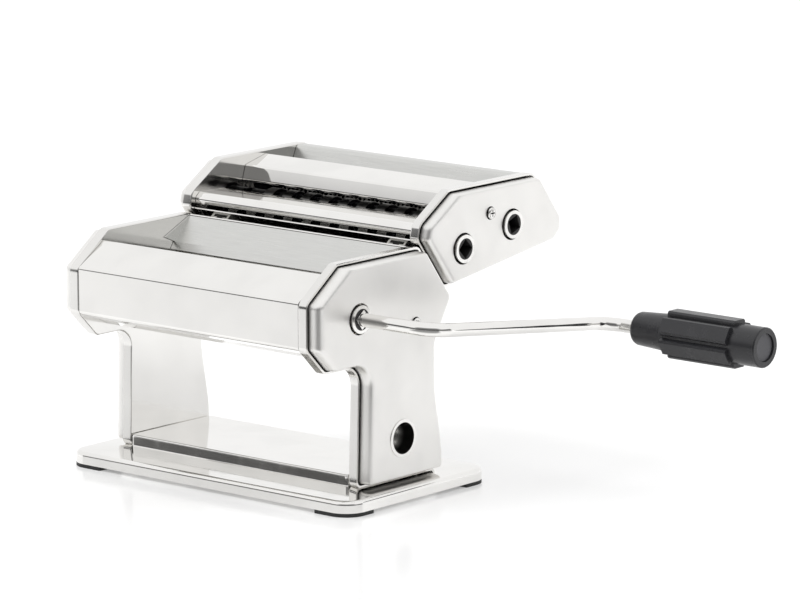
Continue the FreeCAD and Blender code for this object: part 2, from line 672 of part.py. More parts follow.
def make_clamp_sleeve():
    """Flanged eyelet that lines the clamp hole from the cover's face to the plate."""
    body = new_body("clamp_sleeve")
    bore, wall = size("clamp_bore"), size("clamp_sleeve")
    inner = size("inner_half") + size("plate")
    flange, rim = FACE_X + size("clamp_flange_thick"), bore + wall + size("clamp_flange")
    revolve(body, [Vector(inner, bore, 0), Vector(flange, bore, 0), Vector(flange, rim, 0),
                   Vector(FACE_X, rim, 0), Vector(FACE_X, bore + wall, 0),
                   Vector(inner, bore + wall, 0)], "eyelet")
    return place(body, y="clamp_y", z="clamp_z")


def make_tie_rods():
    rods, nuts = [], []
    for i, (y, z) in enumerate(TIE_RODS):
        shoulder = rod("tie_rod_shoulder_%d" % i, "-inner_half", "2 * inner_half", y, z,
                       "tie_rod")
        reach = "inner_half + plate + nut_height + thread_show"
        thread = rod("tie_rod_thread_%d" % i, "-(%s)" % reach, "2 * (%s)" % reach, y, z,
                     "tie_thread")
        rods.append(join("tie_rod_%d" % i, [shoulder, thread]))
        for side, sign in SIDES:
            start, height = span(sign, "inner_half + plate", "nut_height")
            nut = doc.addObject("Part::Prism", "%s_nut_%d" % (side, i))
            nut.Polygon = 6
            nut.Placement = Placement(Vector(), Rotation(Vector(0, 1, 0), 90))
            bind(nut, Circumradius="nut_flats / sqrt(3)", Height=height)
            place(nut, x=start, y=y, z=z)
            hole = rod("%s_nut_bore_%d" % (side, i), start, height, y, z, "tie_thread")
            nuts.append(cut("%s_tie_nut_%d" % (side, i), nut, [hole]))
    piece("tie_rods", group("tie_rods", rods))
    piece("tie_rod_nuts", group("tie_rod_nuts", nuts))


def make_cover_screws():
    posts, screws = [], []
    for side, sign in SIDES:
        y, z = ("screw_y", "screw_z") if side == "right" else ("left_screw_y", "left_screw_z")
        start, length = span(sign, "inner_half + plate",
                             "%s - cover_sheet - inner_half - plate" % FACE)
        post = rod(side + "_post_blank", start, length, y, z, "standoff")
        shank_start, shank = span(sign, "%s - cover_rise" % FACE, "cover_rise")
        bore = rod(side + "_post_bore", shank_start, shank, y, z, "screw_thread")
        posts.append(cut(side + "_post", post, [bore]))
        stem = rod(side + "_screw_stem", shank_start, shank, y, z, "screw_thread")
        screws.append(join(side + "_cover_screw", [stem, screw_head(side, sign, y, z, FACE)]))
    piece("cover_posts", group("cover_posts", posts))
    piece("cover_screws", group("cover_screws", screws))


def screw_head(side, sign, y, z, face):
    """A round head with a cross recess, its flat side on the cover."""
    radius, cap = size("screw_head"), size("screw_cap")
    body = new_body(side + "_head_" + y)
    dome = [Vector(0, 0, 0), Vector(cap, 0, 0)]
    dome += [Vector(cap * up, radius * out, 0) for up, out in SCREW_DOME]
    revolve(body, dome, "dome")
    arm, width = radius * CROSS_LENGTH, radius * CROSS_WIDTH
    for name, half_y, half_z in (("slot", arm, width), ("cross", width, arm)):
        pocket(body, box_outline(0, 0, half_y, half_z), "screw_cap * %g" % CROSS_FLOOR,
               "screw_cap", name=name)
    if sign < 0:
        body.Placement = Placement(Vector(), Rotation(Vector(0, 0, 1), 180))
    return place(body, x="%s" % face if sign > 0 else "-(%s)" % face, y=y, z=z)


# Sheets between the flanks


def sheet_between(name, path, thickness, bend, slack="sheet_slack"):
    points, radii = strip(path, thickness, bend)
    body = new_body(name)
    pad(body, rounded(points, radii), "-(inner_half - (%s))" % slack,
        "2 * (inner_half - (%s))" % slack, name="sheet")
    return body


def make_panels():
    path = corners(("panel_end", "panel_end_height"), ("panel_chin", "panel_chin_height"),
                   ("panel_nose", "nose_bottom"), ("panel_nose", "nose_top"),
                   ("lip_front", "lip_front_height"), ("lip", "lip_height"),
                   ("lip_inner", "lip_inner_height"))
    front = sheet_between("front_panel", path[::-1], size("panel_sheet"),
                          size("panel_bend"))
    piece("front_panel", front)

    path = corners(("hopper_top", "hopper_top_height"), ("hopper_low", "hopper_low_height"),
                   ("hopper_end", "hopper_end_height"))
    hopper = sheet_between("hopper_rear_plate", path, size("panel_sheet"),
                           size("hopper_bend"))
    cheek = corners(("hopper_top", "hopper_top_height"), ("cheek_front", "cheek_height"),
                    ("hopper_low", "hopper_low_height"))
    for side, sign in SIDES:
        start, length = span(sign, "inner_half - sheet_slack - panel_sheet", "panel_sheet")
        pad(hopper, rounded(cheek, 0), start, length, name=side + "_cheek")
    piece("hopper_rear_plate", hopper)

    setback = -size("rear_setback")
    path = [at_height(setback, size("rear_top_height")),
            at_height(setback, size("shoulder_height")),
            Vector(size("waist_rear") + setback, size("rear_foot_height"), 0)]
    rear = sheet_between("rear_panel", path[::-1], size("panel_sheet"), size("rear_bend"))
    piece("rear_panel", rear)


def make_scrapers():
    """Blades that keep dough off the undersides of the rollers.

    The front one hangs between the flanks, the rear one rides on the bearing blocks."""
    thickness, bend = size("scraper_sheet"), size("scraper_bend")
    reach = size("roller") + size("scraper_gap")
    angle = math.radians(size("scraper_angle"))
    aside, below = reach * math.sin(angle), size("drive_z") - reach * math.cos(angle)
    tip = Vector(size("drive_y") + aside, below, 0)
    path = [tip, Vector(tip.x - thickness, size("scraper_knee"), 0),
            Vector(tip.x - thickness, size("scraper_foot"), 0)]
    piece("front_scraper", sheet_between("front_scraper", path, thickness, bend))

    tip = Vector(REST_Y - aside, below, 0)
    knee = Vector(tip.x - thickness, size("scraper_shelf_height"), 0)
    path = [knee + Vector(size("scraper_shelf"), 0, 0), knee, tip]
    rear = sheet_between("rear_scraper", path, thickness, bend,
                         "block_inner_flange + block_slack + fit")
    piece("rear_scraper", rear)


# Sheeting rollers, their bearings and gears


def make_rollers():
    half = size("roller_length") / 2
    hub, inner, mouth = size("drive_journal"), size("inner_half"), FACE_X + size("socket_proud")
    drive = new_body("drive_roller")
    left_end = inner + size("plate") + size("bush_reach")
    revolve(drive, [Vector(-left_end, 0, 0), Vector(mouth, 0, 0), Vector(mouth, hub, 0),
                    Vector(half, hub, 0), Vector(half, size("roller"), 0),
                    Vector(-half, size("roller"), 0), Vector(-half, hub, 0),
                    Vector(-left_end, hub, 0)], "barrel")
    pocket(drive, square(size("socket_side"), CORNER_UP + CRANK_TURN),
           "%s + socket_proud - socket_depth" % FACE, "socket_depth", name="socket")
    piece("drive_roller", place(drive, y="drive_y", z="drive_z"))

    bushes = []
    for side, sign in SIDES:
        body = new_body(side + "_drive_bush")
        flange_in = inner - size("bush_flange_thick")
        bore = hub + size("fit")
        outer = bore + size("bush_wall")
        points = [Vector(flange_in, bore, 0), Vector(left_end, bore, 0),
                  Vector(left_end, outer, 0), Vector(inner, outer, 0),
                  Vector(inner, outer + size("bush_flange"), 0),
                  Vector(flange_in, outer + size("bush_flange"), 0)]
        revolve(body, [Vector(sign * p.x, p.y, 0) for p in points], "bush")
        bushes.append(place(body, y="drive_y", z="drive_z"))
    piece("drive_bushes", group("drive_bushes", bushes))

    rear = new_body("rear_roller")
    gear_end = inner + size("plate") + size("roller_gear_stand") + size("roller_gear_width")
    pin = size("journal")
    block_end = inner + size("plate") + size("journal_reach")
    revolve(rear, [Vector(-block_end, 0, 0), Vector(gear_end, 0, 0), Vector(gear_end, pin, 0),
                   Vector(half, pin, 0), Vector(half, size("roller"), 0),
                   Vector(-half, size("roller"), 0), Vector(-half, pin, 0),
                   Vector(-block_end, pin, 0)], "barrel")
    piece("rear_roller", place(rear, y=REST, z="drive_z"))

    # The drive gear has a gap toward its mate, and the mate a tooth toward the drive gear
    gear_start = "inner_half + plate + roller_gear_stand"
    for name, y, bore, turn in (("drive_gear", "drive_y", hub, 0.5),
                                ("rear_roller_gear", REST, pin, size("roller_teeth") / 2)):
        body = new_body(name)
        outline = toothed(size("roller_teeth"), size("gear_tip"), size("gear_root"),
                          size("tooth_tip"), size("tooth_root"), turn)
        pad(body, outline + [circle(0, 0, bore)], gear_start, "roller_gear_width",
            name="teeth")
        piece(name, place(body, y=y, z="drive_z"))

    blocks = [make_bearing_block(side, sign) for side, sign in SIDES]
    piece("bearing_blocks", group("bearing_blocks", blocks))


def make_bearing_block(side, sign):
    """The rear roller's bearing. It slides in the plate's slot, pushed by a cam."""
    body = new_body(side + "_bearing_block")
    half, high = size("block_half"), size("block_height")
    tall, apron = high + size("block_rim"), size("block_apron")
    inside = "inner_half - block_slack - block_inner_flange"
    start, length = span(sign, inside, "plate + block_inner_flange + 2 * block_slack")
    pad(body, box_outline(0, 0, half, high), start, length, name="slider")
    start, length = span(sign, inside, "block_inner_flange")
    pad(body, box_outline(0, -apron / 2, half, tall + apron / 2), start, length,
        name="inner_flange")
    start, length = span(sign, "inner_half + plate + block_slack", "block_outer_flange")
    pad(body, box_outline(0, 0, half, tall), start, length, name="outer_flange")
    reach = size("sync_y") - size("cam") - size("cam_gap") - REST_Y
    pad(body, box_outline(reach / 2, size("sync_z") - size("drive_z"), reach / 2,
                          size("tappet")), start, length, name="tappet")
    start, length = span(sign, inside, "plate + block_inner_flange + block_outer_flange"
                                       " + 2 * block_slack")
    pocket(body, [circle(0, 0, size("journal") + size("fit"))], start, length, name="bore")
    return place(body, y=REST, z="drive_z")


# Thickness regulator: knob, index plate, gears, cross shaft and cams


def make_regulator():
    plate_face = FACE_X + size("index_thick")
    knob_face = plate_face + size("knob_gap")
    knob_end = knob_face + size("knob_length")
    shaft, clear = size("knob_shaft"), size("fit")
    step = math.hypot(size("knob_y") - size("sync_y"), size("knob_z") - size("sync_z"))
    pitch = step / 2
    aim = math.degrees(math.atan2(size("sync_z") - size("knob_z"),
                                  size("sync_y") - size("knob_y")))

    body = new_body("regulator_shaft")
    head = knob_end - size("knob_cap_thick") - size("head_recess")
    neck = head - size("knob_head_thick")
    inner, pilot, rim = size("inner_half"), size("knob_pilot"), size("knob_head")
    pilot_end = inner + size("plate") + size("shaft_step")
    revolve(body, [Vector(-head, 0, 0), Vector(-inner, 0, 0), Vector(-inner, pilot, 0),
                   Vector(-pilot_end, pilot, 0), Vector(-pilot_end, shaft, 0),
                   Vector(-neck, shaft, 0), Vector(-neck, rim, 0), Vector(-head, rim, 0)],
            "spindle")
    flat = box_outline(0, size("knob_flat") + shaft, 2 * shaft, shaft)
    pocket(body, flat, "-%g" % neck, "%g" % (neck - plate_face), name="flat")
    piece("regulator_shaft", place(body, y="knob_y", z="knob_z"))

    gear_start = "-(inner_half + plate + sync_gear_stand + sync_gear_width)"
    teeth = size("sync_teeth")
    for name, y, z, bore, turn in (("regulator_gear", "knob_y", "knob_z", shaft, aim),
                                   ("sync_gear", "sync_y", "sync_z", size("sync_shaft"),
                                    aim + 180 + 180 / teeth)):
        body = new_body(name)
        outline = spur(teeth, pitch, size("tooth_play"), turn)
        pad(body, outline + [circle(0, 0, bore)], gear_start, "sync_gear_width", name="teeth")
        piece(name, place(body, y=y, z=z))

    piece("index_plate", make_index_plate())
    piece("regulator_knob", make_knob(knob_face, knob_end))
    cap = rod("knob_cap", "-%g" % knob_end, "knob_cap_thick", "knob_y", "knob_z",
              "knob_bore + knob_ledge - fit")
    piece("knob_cap", cap)
    pin_end = plate_face - size("index_depth") + size("pin_float")
    pin_top = knob_face + size("pin_seat")
    pin = rod("index_pin", "-%g" % pin_top, "%g" % (pin_top - pin_end),
              "knob_y", "knob_z + index_track", "index_pin")
    piece("index_pin", pin)
    piece("knob_spring", make_knob_spring(knob_face + size("knob_floor"), neck))

    left = "-(inner_half + plate + sync_gear_stand + sync_gear_width)"
    both = ("2 * (inner_half + plate) + sync_gear_stand + sync_gear_width"
            " + cam_stand + cam_width")
    piece("sync_shaft", rod("sync_shaft", left, both, "sync_y", "sync_z", "sync_shaft"))
    bushed = size("sync_shaft") + clear
    outer = bushed + size("bush_wall")
    rim = outer + size("sync_bush_rim")
    inside = inner - size("bush_flange_thick")
    outside = inner + size("plate") + size("sync_bush_show")
    bushes = []
    for side, sign in SIDES:
        body = new_body(side + "_sync_bush")
        points = [Vector(inside, bushed, 0), Vector(outside, bushed, 0),
                  Vector(outside, outer, 0), Vector(inner, outer, 0), Vector(inner, rim, 0),
                  Vector(inside, rim, 0)]
        revolve(body, [Vector(sign * p.x, p.y, 0) for p in points], "bush")
        bushes.append(place(body, y="sync_y", z="sync_z"))
    piece("sync_bushes", group("sync_bushes", bushes))
    cams = []
    for side, sign in SIDES:
        start, length = span(sign, "inner_half + plate + cam_stand", "cam_width")
        body = new_body(side + "_cam")
        pad(body, cam_outline() + [circle(0, 0, size("sync_shaft"))], start, length,
            name="snail")
        cams.append(place(body, y="sync_y", z="sync_z"))
    piece("gap_cams", group("gap_cams", cams))


def cam_outline():
    """A snail that grows by the gap's travel over the regulator's turn, then steps back.

    The low end touches the tappet, toward -Y, at the widest gap."""
    steps = int(size("cam_points"))
    points = []
    for i in range(steps + 1):
        share = i / steps
        radius = size("cam") + size("gap_travel") * share
        angle = math.pi + KNOB_SENSE * REGULATOR_TURN * share
        points.append(Vector(radius * math.cos(angle), radius * math.sin(angle), 0))
    curve = Part.BSplineCurve()
    curve.interpolate(points)
    lead = math.pi - KNOB_SENSE * math.radians(size("cam_step"))
    low = Vector(size("cam") * math.cos(lead), size("cam") * math.sin(lead), 0)
    return [curve, Part.LineSegment(points[-1], low), Part.LineSegment(low, points[0])]


def make_index_plate():
    """A disc with a groove that ends at the first and last setting, and ten detents."""
    body = new_body("index_plate")
    track, pin = size("index_track"), size("index_pin")
    top, bore = FACE_X + size("index_thick"), size("knob_shaft") + 2 * size("fit")
    revolve(body, [Vector(-top, bore, 0), Vector(-FACE_X, bore, 0),
                   Vector(-FACE_X, size("index_plate"), 0),
                   Vector(-top, size("index_plate"), 0)], "disc")
    turn = KNOB_SENSE * REGULATOR_TURN
    half = pin + size("index_slack")
    first, last = math.pi / 2, math.pi / 2 + turn
    points = {}
    for name, radius in (("in", track - half), ("out", track + half)):
        for place_name, angle in (("first", first), ("middle", (first + last) / 2),
                                  ("last", last)):
            points[name, place_name] = Vector(radius * math.cos(angle),
                                              radius * math.sin(angle), 0)
    ends = []
    for angle, outward in ((first, -KNOB_SENSE), (last, KNOB_SENSE)):
        ends.append(Vector(track * math.cos(angle) - outward * half * math.sin(angle),
                           track * math.sin(angle) + outward * half * math.cos(angle), 0))
    groove = [Part.Arc(points["out", "first"], points["out", "middle"], points["out", "last"]),
              Part.Arc(points["out", "last"], ends[1], points["in", "last"]),
              Part.Arc(points["in", "last"], points["in", "middle"], points["in", "first"]),
              Part.Arc(points["in", "first"], ends[0], points["out", "first"])]
    pocket(body, groove, "-%g" % top, "index_depth", name="groove")
    detents = []
    for setting in range(int(size("settings"))):
        angle = first + turn * setting / (size("settings") - 1)
        detents.append(circle(track * math.cos(angle), track * math.sin(angle), pin))
    pocket(body, detents, "-%g" % top, "index_depth + detent_depth", name="detents")
    return place(body, y="knob_y", z="knob_z")


def make_knob(knob_face, knob_end):
    body = new_body("regulator_knob")
    outer, bore = size("knob"), size("knob_bore")
    floor = knob_face + size("knob_floor")
    inner = size("knob_shaft") + size("fit")
    cap = knob_end - size("knob_cap_thick")
    near, far, seat = size("knob_inner_edge"), size("knob_outer_edge"), bore + size("knob_ledge")
    points = [Vector(-knob_face, inner, 0), Vector(-knob_face, outer - near, 0),
              Vector(-knob_face - near, outer, 0), Vector(-knob_end + far, outer, 0),
              Vector(-knob_end, outer - far, 0), Vector(-knob_end, seat, 0),
              Vector(-cap, seat, 0), Vector(-cap, bore, 0), Vector(-floor, bore, 0),
              Vector(-floor, inner, 0)]
    revolve(body, points, "cup")
    flat = size("knob_flat") + size("fit")
    key = box_outline(0, (flat + inner) / 2, inner, (inner - flat) / 2)
    pad(body, key, "-%g" % floor, "knob_floor", name="key")
    grips = []
    count = int(size("knob_grips"))
    for i in range(count):
        angle = 2 * math.pi * (i + 0.5) / count
        grips.append(circle(outer * math.cos(angle), outer * math.sin(angle),
                            size("knob_grip")))
    pocket(body, grips, "-%g" % knob_end, "knob_groove", name="finger_grooves")
    hole = [circle(0, size("index_track"), size("index_pin"))]
    pocket(body, hole, "-%g" % (knob_face + size("pin_seat")), "pin_seat", name="pin_hole")
    return place(body, y="knob_y", z="knob_z")


def make_knob_spring(low, high):
    """A coil between the knob's floor and the spindle's head."""
    wire, radius, slack = size("spring_wire"), size("spring"), size("spring_slack")
    length = high - low - 2 * (wire + slack)
    helix = Part.makeHelix(length / size("spring_turns"), length, radius)
    section = Part.Wire([Part.makeCircle(wire, Vector(radius, 0, 0), Vector(0, 1, 0))])
    coil = Part.Wire(helix.Edges).makePipeShell([section], True, True)
    item = shaped("knob_spring", coil)
    item.Placement = Placement(Vector(-high + wire + slack, 0, 0), Rotation(Vector(0, 1, 0), 90))
    return place(item, y="knob_y", z="knob_z")


# Crank


def make_crank():
    mouth = FACE_X + size("socket_proud")
    throw = math.hypot(size("crank_throw_y"), size("crank_throw_z"))
    arm = mouth + size("crank_reach")
    end = arm + size("grip_start") + size("grip_length") - size("grip_pocket_depth")
    rod_body, root = new_body("crank_rod"), mouth - size("tip_overlap")
    path = crank_path([Vector(root, 0, 0), Vector(arm, 0, 0), Vector(arm, throw, 0),
                       Vector(end, throw, 0)])
    spine = sketch_on(rod_body, "XY_Plane", "path", path)
    section = sketch_on(rod_body, "YZ_Plane", "section", [circle(0, 0, size("rod"))])
    bind(section, AttachmentOffset__Base__z="%g" % root)
    pipe = rod_body.newObject("PartDesign::AdditivePipe", "bent_rod")
    pipe.Profile = section
    pipe.Spine = (spine, ["Edge%d" % (i + 1) for i in range(len(path))])
    rod_body.Tip = pipe
    tip_side = size("socket_side") - 2 * size("crank_fit")
    pad(rod_body, square(tip_side, CORNER_UP, size("tip_edge")),
        "%g + tip_shoulder - tip_length" % mouth, "tip_length", name="square_tip")
    rod_body.Placement = Placement(Vector(), Rotation(Vector(1, 0, 0), CRANK_TURN))
    piece("crank_rod", place(rod_body, y="drive_y", z="drive_z"))

    grip_y, grip_z = "drive_y + crank_throw_y", "drive_z + crank_throw_z"
    start = arm + size("grip_start")
    finish = start + size("grip_length")
    bore = size("rod") + size("fit")
    body = new_body("crank_grip")
    nose, girth = size("grip_nose"), size("grip_body")
    lip, edge, hollow = size("grip_lip"), size("grip_edge"), size("grip_pocket")
    ring_start = end - size("ring_set") - size("ring_thick")
    floor = ring_start - size("grip_slack")
    points = [Vector(start, bore, 0), Vector(start, nose - lip, 0),
              Vector(start + edge, nose - edge, 0),
              Vector(start + size("grip_nose_length"), nose, 0),
              Vector(start + size("grip_taper"), girth, 0), Vector(finish - edge, girth, 0),
              Vector(finish, girth - edge, 0), Vector(finish, hollow, 0),
              Vector(floor, hollow, 0), Vector(floor, bore, 0)]
    revolve(body, points, "handle")
    for i in range(int(size("grip_ribs"))):
        angle = 360.0 * i / size("grip_ribs") + size("rib_turn")
        pad(body, rib_outline(angle), "%g + rib_start" % start, "rib_length",
            name="rib_%d" % i)
    piece("crank_grip", place(body, y=grip_y, z=grip_z))

    ring = rod("ring_blank", "%g" % ring_start, "ring_thick", grip_y, grip_z, "ring")
    hole = rod("ring_hole", "%g" % ring_start, "ring_thick", grip_y, grip_z, "rod")
    piece("grip_retaining_ring", cut("grip_retaining_ring", ring, [hole]))
    disc = rod("grip_end_disc", "%g - grip_recess - grip_disc" % finish, "grip_disc",
               grip_y, grip_z, "grip_pocket")
    piece("grip_end_disc", disc)


def crank_path(points):
    """The rod's centre line: straight runs joined by its two bends."""
    edges = []
    start = points[0]
    for i, bend in ((1, size("crank_bend")), (2, size("grip_bend"))):
        back = unit(points[i - 1] - points[i])
        ahead = unit(points[i + 1] - points[i])
        half = back.getAngle(ahead) / 2
        reach = bend / math.tan(half)
        centre = points[i] + unit(back + ahead) * (bend / math.sin(half))
        middle = centre + unit(points[i] - centre) * bend
        edges.append(Part.LineSegment(start, points[i] + back * reach))
        edges.append(Part.Arc(points[i] + back * reach, middle, points[i] + ahead * reach))
        start = points[i] + ahead * reach
    edges.append(Part.LineSegment(start, points[3]))
    return edges


def rib_outline(angle):
    """A flat topped rib on the grip's barrel."""
    half, low, high = size("grip_rib_width") / 2, size("rib_root"), size("grip_rib")
    edge, turn = size("rib_edge"), math.radians(angle)
    points = []
    for radial, across in ((low, -half), (high - edge, -half), (high, -half + edge),
                           (high, half - edge), (high - edge, half), (low, half)):
        points.append(Vector(radial * math.cos(turn) - across * math.sin(turn),
                             radial * math.sin(turn) + across * math.cos(turn), 0))
    return rounded(points, 0)


# Cutter head

CUTTER = [at_height(size("cutter_gap"), size("cutter_toe_height"))] + corners(
    ("cutter_heel", "cutter_heel_height"), ("cutter_rear", "cutter_rear_low"),
    ("cutter_rear", "cutter_rear_high"), ("cutter_top_rear", "cutter_top"),
    ("cutter_top_front", "cutter_top"), ("cutter_brow", "cutter_brow_height")) + [
    at_height(size("cutter_gap"), size("cutter_front_height"))]
CUTTER_RADII = [size(name) for name in (
    "corner_round", "cutter_round", "cutter_round", "cutter_round", "cutter_round",
    "cutter_round", "cutter_round", "corner_round")]
CUTTER_BEVELS = [size(name) for name in (
    "bevel_edge", "bevel_edge", "bevel_edge", "bevel_edge", "bevel_edge",
    "cutter_bevel", "cutter_bevel", "cutter_bevel")]
CUTTER_FACE = "(inner_half + rim_width + cover_wall + cutter_cover_rise)"
CUTTER_FACE_X = FACE_X - size("cover_rise") + size("cutter_cover_rise")
BRACES = (("front_brace_y", "front_brace_z"), ("rear_brace_y", "rear_brace_z"))


def make_cutter_frame():
    clear = size("fit")
    for side, sign in SIDES:
        body = new_body(side + "_cutter_plate")
        start, length = span(sign, "inner_half", "rim_width")
        pad(body, rounded(CUTTER, CUTTER_RADII), start, length, name="blank")
        hollow, depth = span(sign, "inner_half + cutter_plate", "rim_width - cutter_plate")
        pocket(body, rounded(inset(CUTTER, size("rim")),
                             inset_radii(CUTTER, CUTTER_RADII, size("rim"))),
               hollow, depth, name="dish")
        driven = size("cutter_hub") if side == "right" else size("cutter_journal")
        holes = [circle(*WIDE, driven + clear), circle(*NARROW, driven + clear),
                 circle(*WIDE_MATE, size("cutter_journal") + clear),
                 circle(*NARROW_MATE, size("cutter_journal") + clear)]
        holes += [circle(size(y), size(z), size("brace_pin") + clear) for y, z in BRACES]
        plate_start, plate = span(sign, "inner_half", "cutter_plate")
        pocket(body, holes, plate_start, plate, name="bores")
        piece(side + "_cutter_plate", body)

        seat = size("inner_half") + size("cutter_plate") + size("cover_seat")
        wall = size("inner_half") + size("rim_width") + size("cover_wall")
        shell = drawn_cover(CUTTER, CUTTER_RADII, CUTTER_BEVELS, seat, wall,
                            size("cutter_cover_rise"))
        blank = shaped(side + "_cutter_shell", mirrored(shell, sign))
        start, length = span(sign, "%s - cutter_cover_rise" % CUTTER_FACE,
                             "cutter_cover_rise + %g" % OVERRUN)
        tools = [rod(side + "_cutter_screw_hole", start, length, "cutter_screw_y",
                     "cutter_screw_z", "screw_thread + fit")]
        if side == "right":
            for name in ("wide", "narrow"):
                tools.append(rod(name + "_hub_hole", start, length, name + "_y", name + "_z",
                                 "cutter_hub + cover_hole_slack"))
        piece(side + "_cutter_cover", cut(side + "_cutter_cover", blank, tools))


def make_cutter_fasteners():
    posts, screws, braces = [], [], []
    y, z = "cutter_screw_y", "cutter_screw_z"
    for side, sign in SIDES:
        start, length = span(sign, "inner_half + cutter_plate",
                             "%s - cover_sheet - inner_half - cutter_plate" % CUTTER_FACE)
        post = rod(side + "_cutter_post_blank", start, length, y, z, "cutter_standoff")
        stem_start, stem = span(sign, "%s - cutter_cover_rise" % CUTTER_FACE,
                                "cutter_cover_rise")
        bore = rod(side + "_cutter_post_bore", stem_start, stem, y, z, "screw_thread")
        posts.append(cut(side + "_cutter_post", post, [bore]))
        shank = rod(side + "_cutter_screw_stem", stem_start, stem, y, z, "screw_thread")
        screws.append(join(side + "_cutter_screw",
                           [shank, screw_head(side, sign, y, z, CUTTER_FACE)]))
    for i, (y, z) in enumerate(BRACES):
        bar = rod("brace_bar_%d" % i, "-inner_half", "2 * inner_half", y, z, "brace")
        ends = [bar]
        for side, sign in SIDES:
            start, length = span(sign, "inner_half", "cutter_plate + brace_head_thick")
            ends.append(rod("%s_brace_pin_%d" % (side, i), start, length, y, z, "brace_pin"))
            start, length = span(sign, "inner_half + cutter_plate", "brace_head_thick")
            ends.append(rod("%s_brace_head_%d" % (side, i), start, length, y, z,
                            "brace_head"))
        braces.append(join("brace_%d" % i, ends))
    piece("cutter_cover_posts", group("cutter_cover_posts", posts))
    piece("cutter_cover_screws", group("cutter_cover_screws", screws))
    piece("cutter_tie_rods", group("cutter_tie_rods", braces))


def make_cutter_sheets():
    metal = size("cutter_sheet")
    guard = corners(("guard_low", "guard_low_height"), ("guard_front", "guard_front_height"),
                    ("guard_top", "guard_top_height"), ("guard_rear", "guard_rear_height"),
                    ("guard_end", "guard_end_height"))
    piece("cutter_front_guard", sheet_between("cutter_front_guard", guard[::-1], metal,
                                              size("guard_bend")))

    shelf = [at_height(size("shelf_out"), size("shelf_height")),
             at_height(size("shelf_out"), size("shelf_fold_height")),
             Vector(size("shelf_end"), size("shelf_end_height"), 0)]
    piece("cutter_lower_panel", sheet_between("cutter_lower_panel", shelf, metal,
                                              size("shelf_bend")))

    prism = corners(("divider_front", "divider_front_low"),
                    ("divider_rear", "divider_rear_low"),
                    ("divider_top", "divider_top_height"),
                    ("divider_crease", "divider_crease_height"))
    body, bend = new_body("cutter_divider"), size("divider_bend")
    outline = rounded(prism, bend) + rounded(inset(prism, metal), bend - metal)
    pad(body, outline, "-(inner_half - sheet_slack)", "2 * (inner_half - sheet_slack)",
        name="tube")
    piece("cutter_divider", body)

    back = corners(("chute_low", "chute_low_height"), ("chute_top", "back_top_height"),
                   ("back_top", "back_top_height"), ("back", "back_high"),
                   ("back", "back_low"), ("back_toe", "back_toe_height"),
                   ("back_end", "back_end_height"))
    piece("cutter_rear_plate", sheet_between("cutter_rear_plate", back[::-1], metal,
                                             size("back_bend")))


def ring_places(kind, driven):
    """Middles of a cutting roller's rings. The mate's rings run in the grooves between."""
    count, pitch = int(size(kind + "_rings")), size(kind + "_pitch")
    if not driven:
        count -= 1
    return [(i - (count - 1) / 2) * pitch for i in range(count)]


def make_cutting_roller(kind, driven):
    """A core with square edged rings, its journals and, if driven, a socketed hub."""
    half, core = size("roller_length") / 2, size(kind + "_core")
    outer, ring = size(kind + "_roller"), size(kind + "_ring") / 2
    inner, pin = size("inner_half"), size("cutter_journal")
    outside = inner + size("cutter_plate")
    gear_end = outside + size("cutter_gear_stand") + size("cutter_gear_width")
    right, hub = outside + size("idler_reach"), pin
    if driven:
        right, hub = CUTTER_FACE_X + size("socket_proud"), size("cutter_hub")
    points = [Vector(-gear_end, 0, 0), Vector(right, 0, 0), Vector(right, hub, 0),
              Vector(half, hub, 0), Vector(half, core, 0)]
    for middle in reversed(ring_places(kind, driven)):
        points += [Vector(middle + ring, core, 0), Vector(middle + ring, outer, 0),
                   Vector(middle - ring, outer, 0), Vector(middle - ring, core, 0)]
    points += [Vector(-half, core, 0), Vector(-half, pin, 0), Vector(-gear_end, pin, 0)]
    name = "%s_%s_roller" % (kind, "driven" if driven else "idler")
    body = new_body(name)
    revolve(body, points, "rings")
    if driven:
        pocket(body, square(size("socket_side"), size(kind + "_socket_turn")),
               "%s + socket_proud - cutter_socket_depth" % CUTTER_FACE,
               "cutter_socket_depth", name="socket")
    return name, body


def make_cutter_rollers():
    fingers = []
    for kind, axis, mate in (("wide", WIDE, WIDE_MATE), ("narrow", NARROW, NARROW_MATE)):
        teeth = size(kind + "_teeth")
        pitch = math.hypot(mate[0] - axis[0], mate[1] - axis[1]) / 2
        aim = size("pair_tilt")
        for driven, place_at, turn in ((True, axis, aim),
                                       (False, mate, aim + 180 + 180 / teeth)):
            name, body = make_cutting_roller(kind, driven)
            piece(name, place(body, y="%.9g" % place_at[0], z="%.9g" % place_at[1]))
            gear = new_body(name.replace("roller", "gear"))
            outline = spur(teeth, pitch, size("cutter_tooth_play"), turn)
            start, length = span(-1, "inner_half + cutter_plate + cutter_gear_stand",
                                 "cutter_gear_width")
            pad(gear, outline + [circle(0, 0, size("cutter_journal"))], start, length,
                name="teeth")
            piece(gear.Name, place(gear, y="%.9g" % place_at[0], z="%.9g" % place_at[1]))
            fingers.append(make_comb(kind, driven, place_at))
    piece("cutter_combs", group("cutter_combs", fingers))


